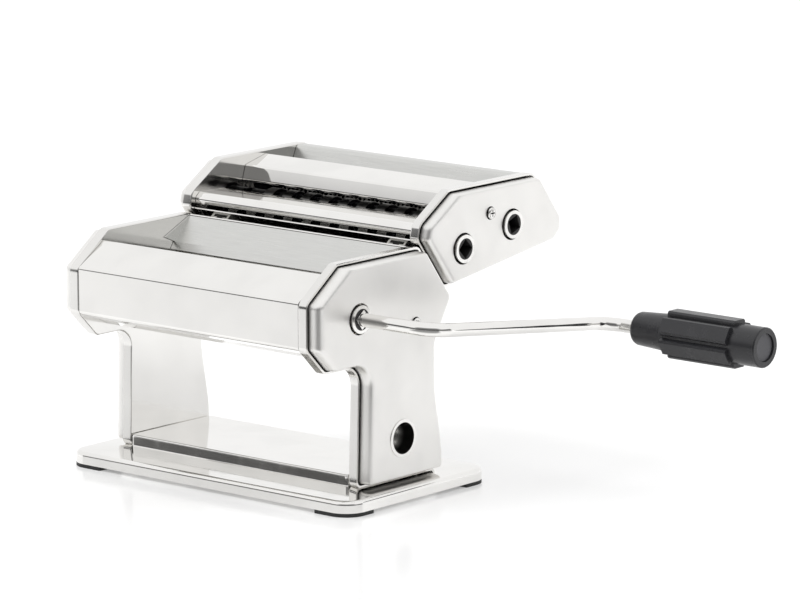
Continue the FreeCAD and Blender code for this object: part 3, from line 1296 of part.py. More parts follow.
def make_comb(kind, driven, axis):
    """A strip whose fingers lift the dough out of one roller's grooves."""
    reach, thick = size("comb_reach"), size("comb_sheet")
    tip = math.sqrt((size(kind + "_core") + size("comb_tip_gap")) ** 2 - (reach - thick) ** 2)
    bar = math.sqrt(size(kind + "_roller") ** 2 - (reach - thick) ** 2) + size("comb_margin")
    half = size("inner_half") - size("sheet_slack")
    finger = size(kind + "_finger") / 2
    foot = -bar - size("comb_drop")
    points = [Vector(-half, foot, 0), Vector(half, foot, 0), Vector(half, -bar, 0)]
    for middle in reversed(ring_places(kind, not driven)):
        points += [Vector(middle + finger, -bar, 0), Vector(middle + finger, -tip, 0),
                   Vector(middle - finger, -tip, 0), Vector(middle - finger, -bar, 0)]
    points.append(Vector(-half, -bar, 0))
    body = new_body("%s_%s_comb" % (kind, "driven" if driven else "idler"))
    # The plane's normal points to -Y, so the driven roller's strip lies behind it
    start = -reach if driven else reach - thick
    pad(body, rounded(points, 0), "%g" % start, "comb_sheet", "XZ_Plane", "strip")
    return place(body, y="%.9g" % axis[0], z="%.9g" % axis[1])


# Rails between the flanks' slope and the cutter head


def rail_solid(name, x, section, down, length):
    """A straight bar down the slope. Its section is in X and in the way out of the slope."""
    start = on_slope(down, 0)
    face = Part.Face(Part.Wire([Part.LineSegment(a, b).toShape() for a, b in zip(
        section, section[1:] + section[:1])]))
    solid = face.extrude(Vector(0, 0, length))
    item = shaped(name, solid)
    # Local x becomes -X, local y the way out and local z the way down the slope
    turn = Rotation(Vector(-1, 0, 0), Vector(0, SLOPE_OUT.x, SLOPE_OUT.y),
                    Vector(0, SLOPE.x, SLOPE.y), "ZXY")
    item.Placement = Placement(Vector(x, start.x, start.y), turn)
    return item


def make_rails():
    slack, lip = size("rail_slack"), size("rail_lip")
    floor = -size("rear_setback")
    head = size("rail_head") / 2
    thick = size("rail_head_thick")
    neck = size("rail_neck") / 2
    head_low = floor + lip + slack
    head_high = head_low + thick
    lips = head_high + slack
    side = head + slack + size("rail_wall")
    channel = [Vector(side, floor, 0), Vector(side, lips + lip, 0),
               Vector(neck + slack, lips + lip, 0), Vector(neck + slack, lips, 0),
               Vector(head + slack, lips, 0), Vector(head + slack, floor + lip, 0),
               Vector(-head - slack, floor + lip, 0), Vector(-head - slack, lips, 0),
               Vector(-neck - slack, lips, 0), Vector(-neck - slack, lips + lip, 0),
               Vector(-side, lips + lip, 0), Vector(-side, floor, 0)]
    stop = [Vector(-side, floor, 0), Vector(side, floor, 0), Vector(side, lips + lip, 0),
            Vector(-side, lips + lip, 0)]
    tongue = [Vector(-head, head_low, 0), Vector(head, head_low, 0), Vector(head, head_high, 0),
              Vector(neck, head_high, 0), Vector(neck, size("shelf_out"), 0),
              Vector(-neck, size("shelf_out"), 0), Vector(-neck, head_high, 0),
              Vector(-head, head_high, 0)]
    rails, tongues = [], []
    start, length = size("rail_start"), size("rail_length")
    for side_name, sign in SIDES:
        x = sign * size("rail_x")
        rails.append(join(side_name + "_rail", [
            rail_solid(side_name + "_channel", x, channel, start, length),
            rail_solid(side_name + "_stop", x, stop, start + length, size("rail_wall"))]))
        tongues.append(rail_solid(side_name + "_tongue", x, tongue, start, length - slack))
    piece("mount_rails", group("mount_rails", rails))
    piece("rail_tongues", group("rail_tongues", tongues))


make_base()
make_flanks()
make_panels()
make_scrapers()
make_rollers()
make_regulator()
make_crank()
make_cutter_frame()
make_cutter_fasteners()
make_cutter_sheets()
make_cutter_rollers()
make_rails()
doc.recompute()

# Checks, then one file for each sub-part

faults = [obj.Name for obj in doc.Objects if {"Invalid", "Error"} & set(obj.State)]
for name, item in pieces.items():
    shape = item.Shape
    if shape.isNull() or not shape.isValid() or shape.Volume <= 0:
        faults.append("%s: bad shape" % name)
if faults:
    raise RuntimeError("Failed objects: " + ", ".join(faults))
for name, item in pieces.items():
    item.Shape.exportStep("parts/%s.step" % name)
    print("%-24s %2d solids %10.1f mm3" % (name, len(item.Shape.Solids), item.Shape.Volume))
print(len(pieces), "nodes")
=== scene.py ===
"""Looks of the hand cranked pasta machine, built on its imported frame.

Every visible piece of the machine is made or dressed here in metres, in the frame's own
axes: +X along the rollers toward the crank, +Y toward the cutter head, +Z up.
"""
import json
import math

import bmesh
import bpy
from mathutils import Matrix, Vector
from mathutils.kdtree import KDTree


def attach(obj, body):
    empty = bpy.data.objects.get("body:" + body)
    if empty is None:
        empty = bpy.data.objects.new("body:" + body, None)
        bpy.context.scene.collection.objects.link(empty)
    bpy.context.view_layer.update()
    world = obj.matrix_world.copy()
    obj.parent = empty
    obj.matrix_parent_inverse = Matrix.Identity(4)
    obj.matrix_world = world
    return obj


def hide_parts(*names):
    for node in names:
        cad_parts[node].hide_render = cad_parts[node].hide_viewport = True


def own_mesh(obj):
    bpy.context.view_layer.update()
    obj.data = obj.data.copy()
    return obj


bl_info = {
    "name": "Pasta Machine",
    "version": (1, 0, 0),
    "blender": (4, 5, 0),
    "location": "3D View > Sidebar > Pasta Machine",
    "description": "Builds the looks of a hand cranked pasta machine on its frame",
    "category": "Object",
}

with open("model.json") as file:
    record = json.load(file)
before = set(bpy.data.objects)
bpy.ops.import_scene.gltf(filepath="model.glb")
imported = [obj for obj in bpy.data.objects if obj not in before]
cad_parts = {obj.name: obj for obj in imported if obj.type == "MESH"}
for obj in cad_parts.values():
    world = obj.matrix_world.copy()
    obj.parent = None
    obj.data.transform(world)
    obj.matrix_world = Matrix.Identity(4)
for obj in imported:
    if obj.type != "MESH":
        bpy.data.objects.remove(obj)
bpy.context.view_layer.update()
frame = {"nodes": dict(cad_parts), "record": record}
NODES = frame["nodes"]
BODY_OF = {node: body for body, members in frame["record"]["behaviour"]["bodies"].items()
           for node in members}
SLOT_OF = {part["node"]: part["material_slot"] for part in frame["record"]["subparts"]}
MM = 0.001

# Outlines in millimetres, as (Y, Z) seen from the crank side, running anticlockwise

FLANK = [(-31.5, 9), (31.5, 9), (31.5, 22), (25.7, 54), (25.7, 78), (39.5, 101),
         (18.5, 129), (-46, 129), (-70, 111.5), (-70, 87), (-56, 73), (-29.5, 73)]
FLANK_RADII = [3.5, 3.5, 80, 80, 10, 6, 5, 5, 6, 5, 5, 10]
FLANK_BEVELS = [1.5, 2.2, 2.2, 2.2, 2.2, 2.2, 1.5, 6, 8, 6, 2.2, 4]
CUTTER = [(38.1, 104.2), (125, 116.7), (131.5, 122.5), (131.5, 131), (113, 155.5),
          (43, 155.5), (19.5, 140.5), (17.25, 132)]
CUTTER_RADII = [5, 7, 7, 7, 7, 7, 7, 5]
CUTTER_BEVELS = [2.2, 2.2, 2.2, 2.2, 2.2, 5, 5, 5]
COVER_INSET = 2.1
DRIVE_AXIS = (-36.3, 99.8)
WIDE_AXIS, NARROW_AXIS = (48.4, 124.2), (88.4, 131.6)
WIDE_MATE, NARROW_MATE = (67.08, 127.66), (105.12, 134.7)
CLAMP_AXIS = (-2.6, 32)
KNOB_AXIS = (-21.8, 89.6)

# Distances from the middle along X, in millimetres
SHEET_HALF = 76.8
RIM = 83.1
FLANK_FACE, CUTTER_FACE = 89.6, 88.1
FLANK_SEAT, CUTTER_SEAT = 78.7, 78.4

# What the camera and the lamps look at, in metres, and the view's tilt in degrees
VIEW_TARGET = (0.05978, 0.03034, 0.09613)
VIEW_ROLL = -0.17
LAMP_TARGET = (0.03, 0.03, 0.08)


# Shader values and finishes


class Value:
    """A shader value. Arithmetic on it adds Math nodes to its own tree."""

    def __init__(self, finish, socket):
        self.finish, self.socket = finish, socket

    def math(self, operation, *terms, clamp=False):
        settings = {"operation": operation, "use_clamp": clamp}
        return self.finish.node("ShaderNodeMath", settings, dict(enumerate(terms)))

    def __add__(self, other):
        return self.math("ADD", self, other)

    def __radd__(self, other):
        return self.math("ADD", other, self)

    def __sub__(self, other):
        return self.math("SUBTRACT", self, other)

    def __rsub__(self, other):
        return self.math("SUBTRACT", other, self)

    def __mul__(self, other):
        return self.math("MULTIPLY", self, other)

    def __rmul__(self, other):
        return self.math("MULTIPLY", other, self)

    def __pow__(self, other):
        return self.math("POWER", self, other)

    def __abs__(self):
        return self.math("ABSOLUTE", self)

    def largest(self, other):
        return self.math("MAXIMUM", self, other)

    def step(self, low, high):
        """0 below low, 1 above high, and smooth between them."""
        settings = {"interpolation_type": "SMOOTHSTEP"}
        places = {"Value": self, "From Min": low, "From Max": high}
        return self.finish.node("ShaderNodeMapRange", settings, places)


class Finish:
    """A material's node tree, or the world's."""

    def __init__(self, owner):
        self.owner = owner
        owner.use_nodes = True
        self.tree = owner.node_tree
        self.tree.nodes.clear()
        self.parts = {}

    def node(self, kind, settings=None, inputs=None, output=0):
        item = self.tree.nodes.new(kind)
        for name, value in (settings or {}).items():
            setattr(item, name, value)
        for name, value in (inputs or {}).items():
            if isinstance(value, Value):
                self.tree.links.new(value.socket, item.inputs[name])
            else:
                item.inputs[name].default_value = value
        return Value(self, item.outputs[output]) if item.outputs else None

    def place(self):
        """The point on the piece, in metres."""
        if "place" not in self.parts:
            self.parts["place"] = self.node("ShaderNodeTexCoord", output="Object")
        return self.parts["place"]

    def along(self, axis):
        """The point's X, Y or Z in millimetres."""
        if axis not in self.parts:
            part = self.node("ShaderNodeSeparateXYZ", None, {0: self.place()}, axis)
            self.parts[axis] = part * 1000.0
        return self.parts[axis]

    def from_axis(self, centre):
        """Millimetres from an axis along X."""
        y, z = self.along("Y") - centre[0], self.along("Z") - centre[1]
        return (y * y + z * z) ** 0.5

    def noise(self, size, detail=2.0, stretch=(1, 1, 1), shift=0.0):
        """Cloudy noise whose patches are about this many millimetres wide."""
        spread = [1.0 / (size * MM * s) for s in stretch]
        spot = self.node("ShaderNodeMapping", None, {
            "Vector": self.place(), "Location": (shift, shift, shift), "Scale": spread})
        return self.node("ShaderNodeTexNoise", None, {
            "Vector": spot, "Scale": 1.0, "Detail": detail, "Roughness": 0.55})

    def blend(self, share, first, second, mode="MIX"):
        """One colour turning into another."""
        settings = {"data_type": "RGBA", "blend_type": mode}
        return self.node("ShaderNodeMix", settings, {0: share, 6: first, 7: second}, 2)

    def relief(self, height, depth):
        """A bump of the given depth in millimetres for heights from 0 to 1."""
        return self.node("ShaderNodeBump", None, {
            "Strength": 1.0, "Distance": depth * MM, "Height": height})

    def surface(self, **sockets):
        """The one surface shader. Underscores in a name stand for spaces."""
        inputs = {name.replace("_", " "): value for name, value in sockets.items()}
        shader = self.node("ShaderNodeBsdfPrincipled", None, inputs)
        self.node("ShaderNodeOutputMaterial", None, {"Surface": shader})
        return self.owner


def colour(red, green, blue):
    return (red, green, blue, 1.0)


def toned(tint, level):
    return (tint[0] * level, tint[1] * level, tint[2] * level, 1.0)


def finish_named(name):
    return Finish(bpy.data.materials.new(name))


def mirror_chrome(name, tint, rough, wave=0.012, groove=None):
    """Polished chrome: faint wiping marks, a slight wave of the sheet and painted shade in a
    groove.
    """
    finish = finish_named(name)
    wiping = finish.noise(14, 3, (1, 1, 2.2))
    hairs = finish.noise(0.5, 2, (26, 1, 1.4), 0.4)
    roughness = rough + wiping.step(0.42, 0.72) * 0.05 + hairs.step(0.5, 0.8) * 0.03
    shade = finish.blend(finish.noise(30, 2, shift=0.9).step(0.35, 0.7),
                         toned(tint, 1.0), toned(tint, 0.955))
    if groove:
        # Painted shade: where the groove mask is given, the colour goes near black and the
        # surface duller.
        painted_shade = groove(finish)
        shade = finish.blend(painted_shade, shade, colour(0.03, 0.028, 0.026))
        roughness = roughness + painted_shade * 0.45
    height = finish.noise(34, 1, shift=0.2) + hairs * 0.02
    return finish.surface(Base_Color=shade, Metallic=1.0, Roughness=roughness,
                          Normal=finish.relief(height, wave))


def satin_steel(name, tint, rough):
    """Brushed or satin plated sheet with a directional grain."""
    finish = finish_named(name)
    brushing = finish.noise(0.35, 2, (40, 1, 1))
    broad = finish.noise(9, 2, (3, 1, 1), 0.3)
    roughness = rough + (brushing - 0.5) * 0.16 + (broad - 0.5) * 0.08
    shade = finish.blend(brushing.step(0.3, 0.75), toned(tint, 1.0), toned(tint, 0.93))
    return finish.surface(Base_Color=shade, Metallic=1.0, Roughness=roughness,
                          Normal=finish.relief(brushing, 0.0012))


def plated_steel(name, tint, rough, face=None):
    """Zinc plating: a fine speckle and cloudy patches, with painted shade in a screw's recess.
    """
    finish = finish_named(name)
    speckle = finish.noise(0.25, 3)
    cloud = finish.noise(3, 2, shift=0.6)
    shade = finish.blend(cloud.step(0.3, 0.7), toned(tint, 1.0), toned(tint, 0.85))
    if face:
        # Painted shade: behind the head's front face the recess goes near black.
        painted_shade = (abs(finish.along("X")) - face).step(0.95, 0.6)
        shade = finish.blend(painted_shade, shade, colour(0.012, 0.012, 0.012))
    return finish.surface(Base_Color=shade, Metallic=1.0,
                          Roughness=rough + (speckle - 0.5) * 0.2 + (cloud - 0.5) * 0.1,
                          Normal=finish.relief(speckle, 0.002))


def oiled_gear(name, tint):
    """Hardened steel with a film of oil that gathers in dark patches."""
    finish = finish_named(name)
    film = finish.noise(2.2, 3).step(0.42, 0.66)
    tool = finish.noise(0.3, 1, (1, 8, 8))
    shade = finish.blend(film, toned(tint, 1.0), colour(0.16, 0.13, 0.09))
    return finish.surface(Base_Color=shade, Metallic=1.0,
                          Roughness=0.36 - film * 0.18 + (tool - 0.5) * 0.12,
                          Normal=finish.relief(tool, 0.004))


def moulded(name, tint, rough, grain, shine=0.5, spread=0.3):
    """Moulded plastic or rubber: fine grain, handling gloss and faint scuffs."""
    finish = finish_named(name)
    pebble = finish.noise(grain, 2)
    worn = finish.noise(8, 3, shift=0.7).step(0.5, 0.75)
    scuffs = finish.noise(0.6, 1, (1, 12, 12), 0.2).step(0.62, 0.8)
    shade = finish.blend(worn * 0.6, toned(tint, 1.0), toned(tint, 1.0 + spread))
    shade = finish.blend(scuffs * 0.35, shade, toned(tint, 1.0 + 2 * spread))
    return finish.surface(Base_Color=shade, Roughness=rough - worn * 0.08 + scuffs * 0.1,
                          Specular_IOR_Level=shine,
                          Normal=finish.relief(pebble, 0.012))


def turned_metal(name, tint, rough, axis):
    """Bright turned metal with fine rings round its axis."""
    finish = finish_named(name)
    radius = finish.from_axis(axis)
    rings = finish.node("ShaderNodeTexNoise", {"noise_dimensions": "1D"},
                        {"W": radius * 3.0 + finish.along("X") * 3.0, "Scale": 1.0,
                         "Detail": 2.0})
    marks = finish.noise(6, 3, shift=0.5).step(0.45, 0.7)
    shade = finish.blend(marks, toned(tint, 1.0), toned(tint, 0.93))
    return finish.surface(Base_Color=shade, Metallic=1.0,
                          Roughness=rough + (rings - 0.5) * 0.12 + marks * 0.05,
                          Normal=finish.relief(rings, 0.004))


def socketed_roller(name, tint, rough, axis, land=None):
    """A ground steel roller with painted shade in its socket and in the grooves between its
    lands.
    """
    finish = finish_named(name)
    turning = finish.noise(0.25, 1, (1, 30, 30))
    film = finish.noise(7, 3, shift=0.3).step(0.4, 0.75)
    radius, along = finish.from_axis(axis), finish.along("X")
    # Painted shade in the socket: deep inside the hole the colour goes dark grey.
    inside = radius.step(5.75, 5.55) * along.step(50.0, 55.0)
    shade = finish.blend(film, toned(tint, 1.0), toned(tint, 0.9))
    if land:
        # Painted shade in the grooves between the lands: the cores go near black.
        groove = radius.step(land - 0.15, land - 0.5) * abs(along).step(75.5, 75.0)
        shade = finish.blend(groove, shade, colour(0.035, 0.035, 0.04))
    shade = finish.blend(inside, shade, colour(0.085, 0.084, 0.084))
    roughness = rough + (turning - 0.5) * 0.1 + film * 0.06 + inside * 0.4
    return finish.surface(Base_Color=shade, Metallic=1.0, Roughness=roughness,
                          Normal=finish.relief(turning, 0.0015))


def sleeve_bore(finish):
    """Painted shade on the clamp hole's wall, which darkens toward its mouth."""
    wall = finish.from_axis(CLAMP_AXIS).step(8.5, 8.2)
    return wall * (finish.along("X").step(77.5, 84.0) * 0.8 + 0.2)


def rim_groove(finish):
    """Painted shade on the cover's wall in the narrow gap round it, where light does not
    reach.
    """
    side = abs(finish.along("X"))
    return side.step(RIM - 0.2, RIM - 0.8)


FINISHES = {}


def make_finishes(look):
    tint, steel = look.chrome, look.steel
    FINISHES.update({
        "chromed_sheet": mirror_chrome("Chromed sheet", tint, look.polish),
        # The covers get painted shade in the gap round them through the groove mask.
        "cover": mirror_chrome("Chromed cover", toned(tint, 1.04), look.polish + 0.33,
                               groove=rim_groove),
        "base_chrome": mirror_chrome("Chromed base", tint, look.polish + 0.02),
        "inner_plate": mirror_chrome("Chromed plate", toned(tint, 0.95), 0.1),
        "satin_sheet": satin_steel("Satin sheet", toned(steel, 1.2), 0.3),
        "sleeve": mirror_chrome("Clamp sleeve", tint, 0.08, groove=sleeve_bore),
        "roller": socketed_roller("Ground roller", tint, 0.14, DRIVE_AXIS),
        "wide_driven": socketed_roller("Wide cutter", tint, 0.22, WIDE_AXIS, 10),
        # The mates' chrome is toned down to 0.3: painted shade, for the shadow the mates lie
        # in.
        "wide_idler": socketed_roller("Wide cutter mate in painted shade", toned(tint, 0.3), 0.3,
                                      WIDE_MATE, 10),
        "narrow_driven": socketed_roller("Narrow cutter", tint, 0.22, NARROW_AXIS, 9),
        "narrow_idler": socketed_roller("Narrow cutter mate in painted shade", toned(tint, 0.3), 0.3,
                                        NARROW_MATE, 9),
        "zinc": plated_steel("Zinc plating", toned(steel, 1.15), 0.3),
        "cover_screw": plated_steel("Cover screw", tint, 0.22, FLANK_FACE),
        "cutter_screw": plated_steel("Cutter screw", tint, 0.22, CUTTER_FACE),
        # Near-black plating for the rail tongues is painted shade.
        "dark_plating": plated_steel("Plating in painted shade", (0.035, 0.035, 0.035), 0.45),
        "gear": oiled_gear("Oiled gear", toned(steel, 0.9)),
        "crank_steel": mirror_chrome("Chromed bar", tint, 0.05, 0.004),
        "knob_metal": turned_metal("Turned metal", tint, 0.16, KNOB_AXIS),
        "dial": moulded("Dark nylon", (0.05, 0.05, 0.052), 0.5, 0.5),
        "bush": moulded("Natural nylon", (0.72, 0.7, 0.62), 0.42, 0.7, spread=-0.06),
        "scraper": moulded("Polymer strip", (0.66, 0.65, 0.6), 0.4, 0.7, spread=-0.06),
        "grip": moulded("Grip plastic", look.grip, 0.3, 0.45, 0.45),
        "grip_disc": moulded("Grip end plastic", look.grip_end, 0.45, 0.4, 0.3, 0.15),
        "foot": moulded("Rubber", (0.018, 0.018, 0.018), 0.62, 0.4),
    })


# Modelling helpers


def only(piece):
    """Selects one piece alone and makes it active."""
    bpy.ops.object.select_all(action="DESELECT")
    piece.select_set(True)
    bpy.context.view_layer.objects.active = piece


def edit(piece):
    only(piece)
    bpy.ops.object.mode_set(mode="EDIT")
    bpy.ops.mesh.select_all(action="SELECT")


def leave():
    bpy.ops.object.mode_set(mode="OBJECT")


def apply_modifier(piece, kind, **settings):
    only(piece)
    bpy.ops.object.modifier_add(type=kind)
    modifier = piece.modifiers[-1]
    for name, value in settings.items():
        setattr(modifier, name, value)
    bpy.ops.object.modifier_apply(modifier=modifier.name)


def round_edges(piece, width, segments=2, angle=40):
    """Rounds the sharp edges and shades the flats as flats."""
    if width:
        apply_modifier(piece, "BEVEL", width=width * MM, segments=segments,
                       limit_method="ANGLE", angle_limit=math.radians(angle),
                       use_clamp_overlap=True, miter_outer="MITER_SHARP")
    only(piece)
    bpy.ops.object.shade_smooth_by_angle(angle=math.radians(angle))
    apply_modifier(piece, "WEIGHTED_NORMAL", weight=70, keep_sharp=True)


def finished(piece, node, finish=None):
    """Gives the piece its finish and lets it stand for its node."""
    piece.data.materials.clear()
    piece.data.materials.append(FINISHES[finish or SLOT_OF[node]])
    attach(piece, BODY_OF[node])
    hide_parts(node)
    return piece


def folded(piece, radius):
    """Rolls the edge where a side plate turns into its rim."""
    edit(piece)
    bpy.ops.mesh.select_all(action="DESELECT")
    work = bmesh.from_edit_mesh(piece.data)
    inner = min(abs(v.co.x) for v in work.verts)
    for edge in work.edges:
        if any(abs(abs(v.co.x) - inner) > 0.00005 for v in edge.verts):
            continue
        walls = [f for f in edge.link_faces if abs(f.normal.x) < 0.1]
        if walls and max(abs(v.co.x) for v in walls[0].verts) - inner > 0.004:
            edge.select_set(True)
    bmesh.update_edit_mesh(piece.data)
    bpy.ops.mesh.bevel(offset=radius * MM, segments=7)
    leave()


def dressed(node, width=0.2, segments=2, finish=None, angle=40, rim=0):
    """A copy of a solid, its triangles merged into faces and its edges rounded."""
    mesh = NODES[node].data.copy()
    piece = bpy.data.objects.new("dressed_" + node, mesh)
    bpy.context.scene.collection.objects.link(piece)
    edit(piece)
    bpy.ops.mesh.remove_doubles(threshold=0.000002)
    bpy.ops.mesh.dissolve_limited(angle_limit=math.radians(0.6))
    bpy.ops.mesh.normals_make_consistent(inside=False)
    bpy.ops.mesh.customdata_custom_splitnormals_clear()
    leave()
    if rim:
        folded(piece, rim)
    round_edges(piece, width, segments, angle)
    return finished(piece, node, finish)


def kept(node, finish=None):
    """A solid that stays as it is and gets its finish."""
    mesh = NODES[node].data
    mesh.materials.clear()
    mesh.materials.append(FINISHES[finish or SLOT_OF[node]])


def corner_points(before, corner, after, radius, steps):
    """The rounded corner of an outline, as evenly turned points."""
    back, ahead = (before - corner).normalized(), (after - corner).normalized()
    half = back.angle(ahead) / 2
    centre = corner + (back + ahead).normalized() * (radius / math.sin(half))
    start = corner + back * (radius / math.tan(half))
    sweep = math.pi - 2 * half
    if (corner - before).cross(after - corner) < 0:
        sweep = -sweep
    arm = start - centre
    return [centre + Matrix.Rotation(sweep * i / steps, 2) @ arm for i in range(steps + 1)]


def rounded(points, radii, steps=8):
    points = [Vector(p) for p in points]
    count = len(points)
    result = []
    for i, corner in enumerate(points):
        if radii[i] <= 0:
            result.append(corner)
            continue
        result += corner_points(points[i - 1], corner, points[(i + 1) % count], radii[i],
                                steps)
    return result


def oblong(half_x, half_y, radius):
    """A rectangle round the origin with rounded corners."""
    return rounded([(-half_x, -half_y), (half_x, -half_y), (half_x, half_y),
                    (-half_x, half_y)], [radius] * 4, 10)


def quarter_turn(steps):
    """Cosine and sine of the angles from 0 to 90 degrees."""
    turns = [math.pi / 2 * i / steps for i in range(steps + 1)]
    return [(math.cos(turn), math.sin(turn)) for turn in turns]


def inset(points, widths):
    """Moves each edge of an anticlockwise outline inward by its own width."""
    points = [Vector(p) for p in points]
    count = len(points)
    lines = []
    for i, start in enumerate(points):
        along = (points[(i + 1) % count] - start).normalized()
        lines.append((start + Vector((-along.y, along.x)) * widths[i], along))
    result = []
    for i in range(count):
        (a, u), (b, v) = lines[i - 1], lines[i]
        reach = (b - a).cross(v) / u.cross(v)
        result.append(a + u * reach)
    return result


def inset_radii(points, radii, widths):
    points = [Vector(p) for p in points]
    count = len(points)
    result = []
    for i, radius in enumerate(radii):
        turn = (points[i] - points[i - 1]).cross(points[(i + 1) % count] - points[i])
        step = min(widths[i - 1], widths[i])
        result.append(max(radius - step, 2.0) if turn > 0 else radius + step)
    return result


def in_plane(points, x):
    """Outline points in millimetres as places in the frame, at an X."""
    return [Vector((x, p.x, p.y)) * MM for p in points]


def level(points, z):
    return [Vector((p.x, p.y, z)) * MM for p in points]


def drawn_through(name, rings, cap_start=False, cap_end=True):
    """A closed ring of points, extruded from ring to ring."""
    bpy.ops.object.select_all(action="DESELECT")
    bpy.ops.mesh.primitive_circle_add(vertices=len(rings[0]), radius=1)
    piece = bpy.context.active_object
    piece.name = name
    for vertex, spot in zip(piece.data.vertices, rings[0]):
        vertex.co = spot
    edit(piece)
    if cap_start:
        bpy.ops.mesh.edge_face_add()
        bpy.ops.mesh.select_all(action="DESELECT")
        bpy.ops.mesh.select_mode(type="EDGE")
        bpy.ops.mesh.select_all(action="SELECT")
    for before, after in zip(rings, rings[1:]):
        bpy.ops.mesh.select_mode(type="VERT")
        bpy.ops.mesh.extrude_edges_move()
        tree = KDTree(len(before))
        for i, spot in enumerate(before):
            tree.insert(spot, i)
        tree.balance()
        work = bmesh.from_edit_mesh(piece.data)
        for vertex in [v for v in work.verts if v.select]:
            vertex.co = after[tree.find(vertex.co)[1]]
        bmesh.update_edit_mesh(piece.data)
    if cap_end:
        bpy.ops.mesh.edge_face_add()
    bpy.ops.mesh.select_all(action="SELECT")
    bpy.ops.mesh.normals_make_consistent(inside=False)
    leave()
    return piece


def facing(piece, direction):
    """Turns the shell's normals if its largest face along this direction looks back."""
    face = max(piece.data.polygons, key=lambda f: f.area * abs(f.normal.dot(direction)))
    if face.normal.dot(direction) < 0:
        edit(piece)
        bpy.ops.mesh.flip_normals()
        leave()


def thicken(piece, metal):
    """Gives the shell its sheet's thickness, inward."""
    apply_modifier(piece, "SOLIDIFY", thickness=metal * MM, offset=-1.0,
                   use_even_offset=True)


def drilled(piece, holes, x):
    """Cuts round holes along X: each a centre and a radius in millimetres."""
    for (y, z), radius in holes:
        bpy.ops.object.select_all(action="DESELECT")
        bpy.ops.mesh.primitive_cylinder_add(
            vertices=64, radius=radius * MM, depth=8.0 * MM,
            location=(x * MM, y * MM, z * MM), rotation=(0, math.pi / 2, 0))
        tool = bpy.context.active_object
        apply_modifier(piece, "BOOLEAN", operation="DIFFERENCE", object=tool,
                       solver="EXACT")
        bpy.data.objects.remove(tool)


def strip_outline(path, metal, bend, steps=7):
    """The closed section of a bent sheet that lies to the left of its path."""
    path = [Vector(p) for p in path]
    left, near, far = [], [], []
    for i, point in enumerate(path):
        before = (point - path[i - 1]).normalized() if i else None
        after = (path[i + 1] - point).normalized() if i + 1 < len(path) else None
        before, after = before or after, after or before
        normal = Vector((-before.y - after.y, before.x + after.x)).normalized()
        share = normal.dot(Vector((-before.y, before.x)))
        left.append(point + normal * (metal / share))
        if i in (0, len(path) - 1):
            near.append(0)
            far.append(0)
        else:
            turns_left = before.cross(after) > 0
            near.append(bend + metal if turns_left else bend)
            far.append(bend if turns_left else bend + metal)
    return rounded(path + left[::-1], near + far[::-1], steps)


def between_flanks(section):
    return [in_plane(section, -SHEET_HALF), in_plane(section, SHEET_HALF)]


def bent_sheet(name, path, metal, bend, edge):
    """A sheet bent along a path in the Y Z plane, from flank to flank."""
    section = strip_outline(path, metal, bend)
    piece = drawn_through(name, between_flanks(section), True)
    round_edges(piece, edge, 2, 60)
    return piece


def cover_shell(name, points, radii, bevels, sign, seat, face):
    """A drawn cover: straight wall, soft bevel of its own width on each side, flat face."""
    rise = face - RIM
    stations = [(seat, 0.0), (RIM - 0.6, 0.0)]
    for side, up in quarter_turn(14)[1:]:
        stations.append((RIM + rise * up ** 0.5, 1 - max(side, 0.0) ** 0.5))
    rings = []
    for x, share in stations:
        widths = [COVER_INSET + share * bevel for bevel in bevels]
        outline = rounded(inset(points, widths), inset_radii(points, radii, widths), 9)
        rings.append(in_plane(outline, sign * x))
    piece = drawn_through(name, rings)
    facing(piece, Vector((sign, 0, 0)))
    thicken(piece, 1.0)
    return piece


# Settings that a user would change


class MachineLook(bpy.types.PropertyGroup):
    chrome: bpy.props.FloatVectorProperty(
        name="Chrome", description="Colour that the chromed sheet reflects with",
        subtype="COLOR", size=3, min=0, max=1, default=(0.87, 0.86, 0.84))
    steel: bpy.props.FloatVectorProperty(
        name="Steel", description="Colour of the satin steel sheets",
        subtype="COLOR", size=3, min=0, max=1, default=(0.57, 0.57, 0.555))
    grip: bpy.props.FloatVectorProperty(
        name="Grip", description="Colour of the crank's grip",
        subtype="COLOR", size=3, min=0, max=1, default=(0.026, 0.026, 0.029))
    grip_end: bpy.props.FloatVectorProperty(
        name="Grip end", description="Colour of the disc in the grip's end",
        subtype="COLOR", size=3, min=0, max=1, default=(0.11, 0.11, 0.118))
    polish: bpy.props.FloatProperty(
        name="Polish", description="Roughness of the polished chrome",
        subtype="FACTOR", min=0, max=1, default=0.05)


class MachineShape(bpy.types.PropertyGroup):
    sheet_edge: bpy.props.FloatProperty(
        name="Sheet edge", description="Rounding of cut sheet edges, in millimetres",
        min=0, max=0.4, default=0.14)
    turned_edge: bpy.props.FloatProperty(
        name="Turned edge", description="Rounding of turned and milled edges, in millimetres",
        min=0, max=0.6, default=0.25)
    base_roll: bpy.props.FloatProperty(
        name="Base roll", description="Radius of the base plate's rolled edge, in millimetres",
        min=0.5, max=3, default=2.4)


class StudioSetup(bpy.types.PropertyGroup):
    lens: bpy.props.FloatProperty(
        name="Lens", description="Focal length of the view's camera", unit="CAMERA",
        default=234.2)
    distance: bpy.props.FloatProperty(
        name="Distance", description="How far the camera stands from its target",
        unit="LENGTH", default=2.723)
    yaw: bpy.props.FloatProperty(
        name="Yaw", description="Direction of the camera round the machine",
        unit="ROTATION", default=math.radians(40.36))
    pitch: bpy.props.FloatProperty(
        name="Pitch", description="Height of the camera as an angle",
        unit="ROTATION", default=math.radians(11.02))
    card: bpy.props.FloatProperty(
        name="Dark card", description="Direction in which the dark cards stand",
        unit="ROTATION", default=math.radians(40.36))
    sky: bpy.props.FloatProperty(
        name="Sky", description="Strength of the soft light from all round",
        min=0, max=2, default=0.62)


def look():
    return bpy.context.scene.machine_look


def shape():
    return bpy.context.scene.machine_shape


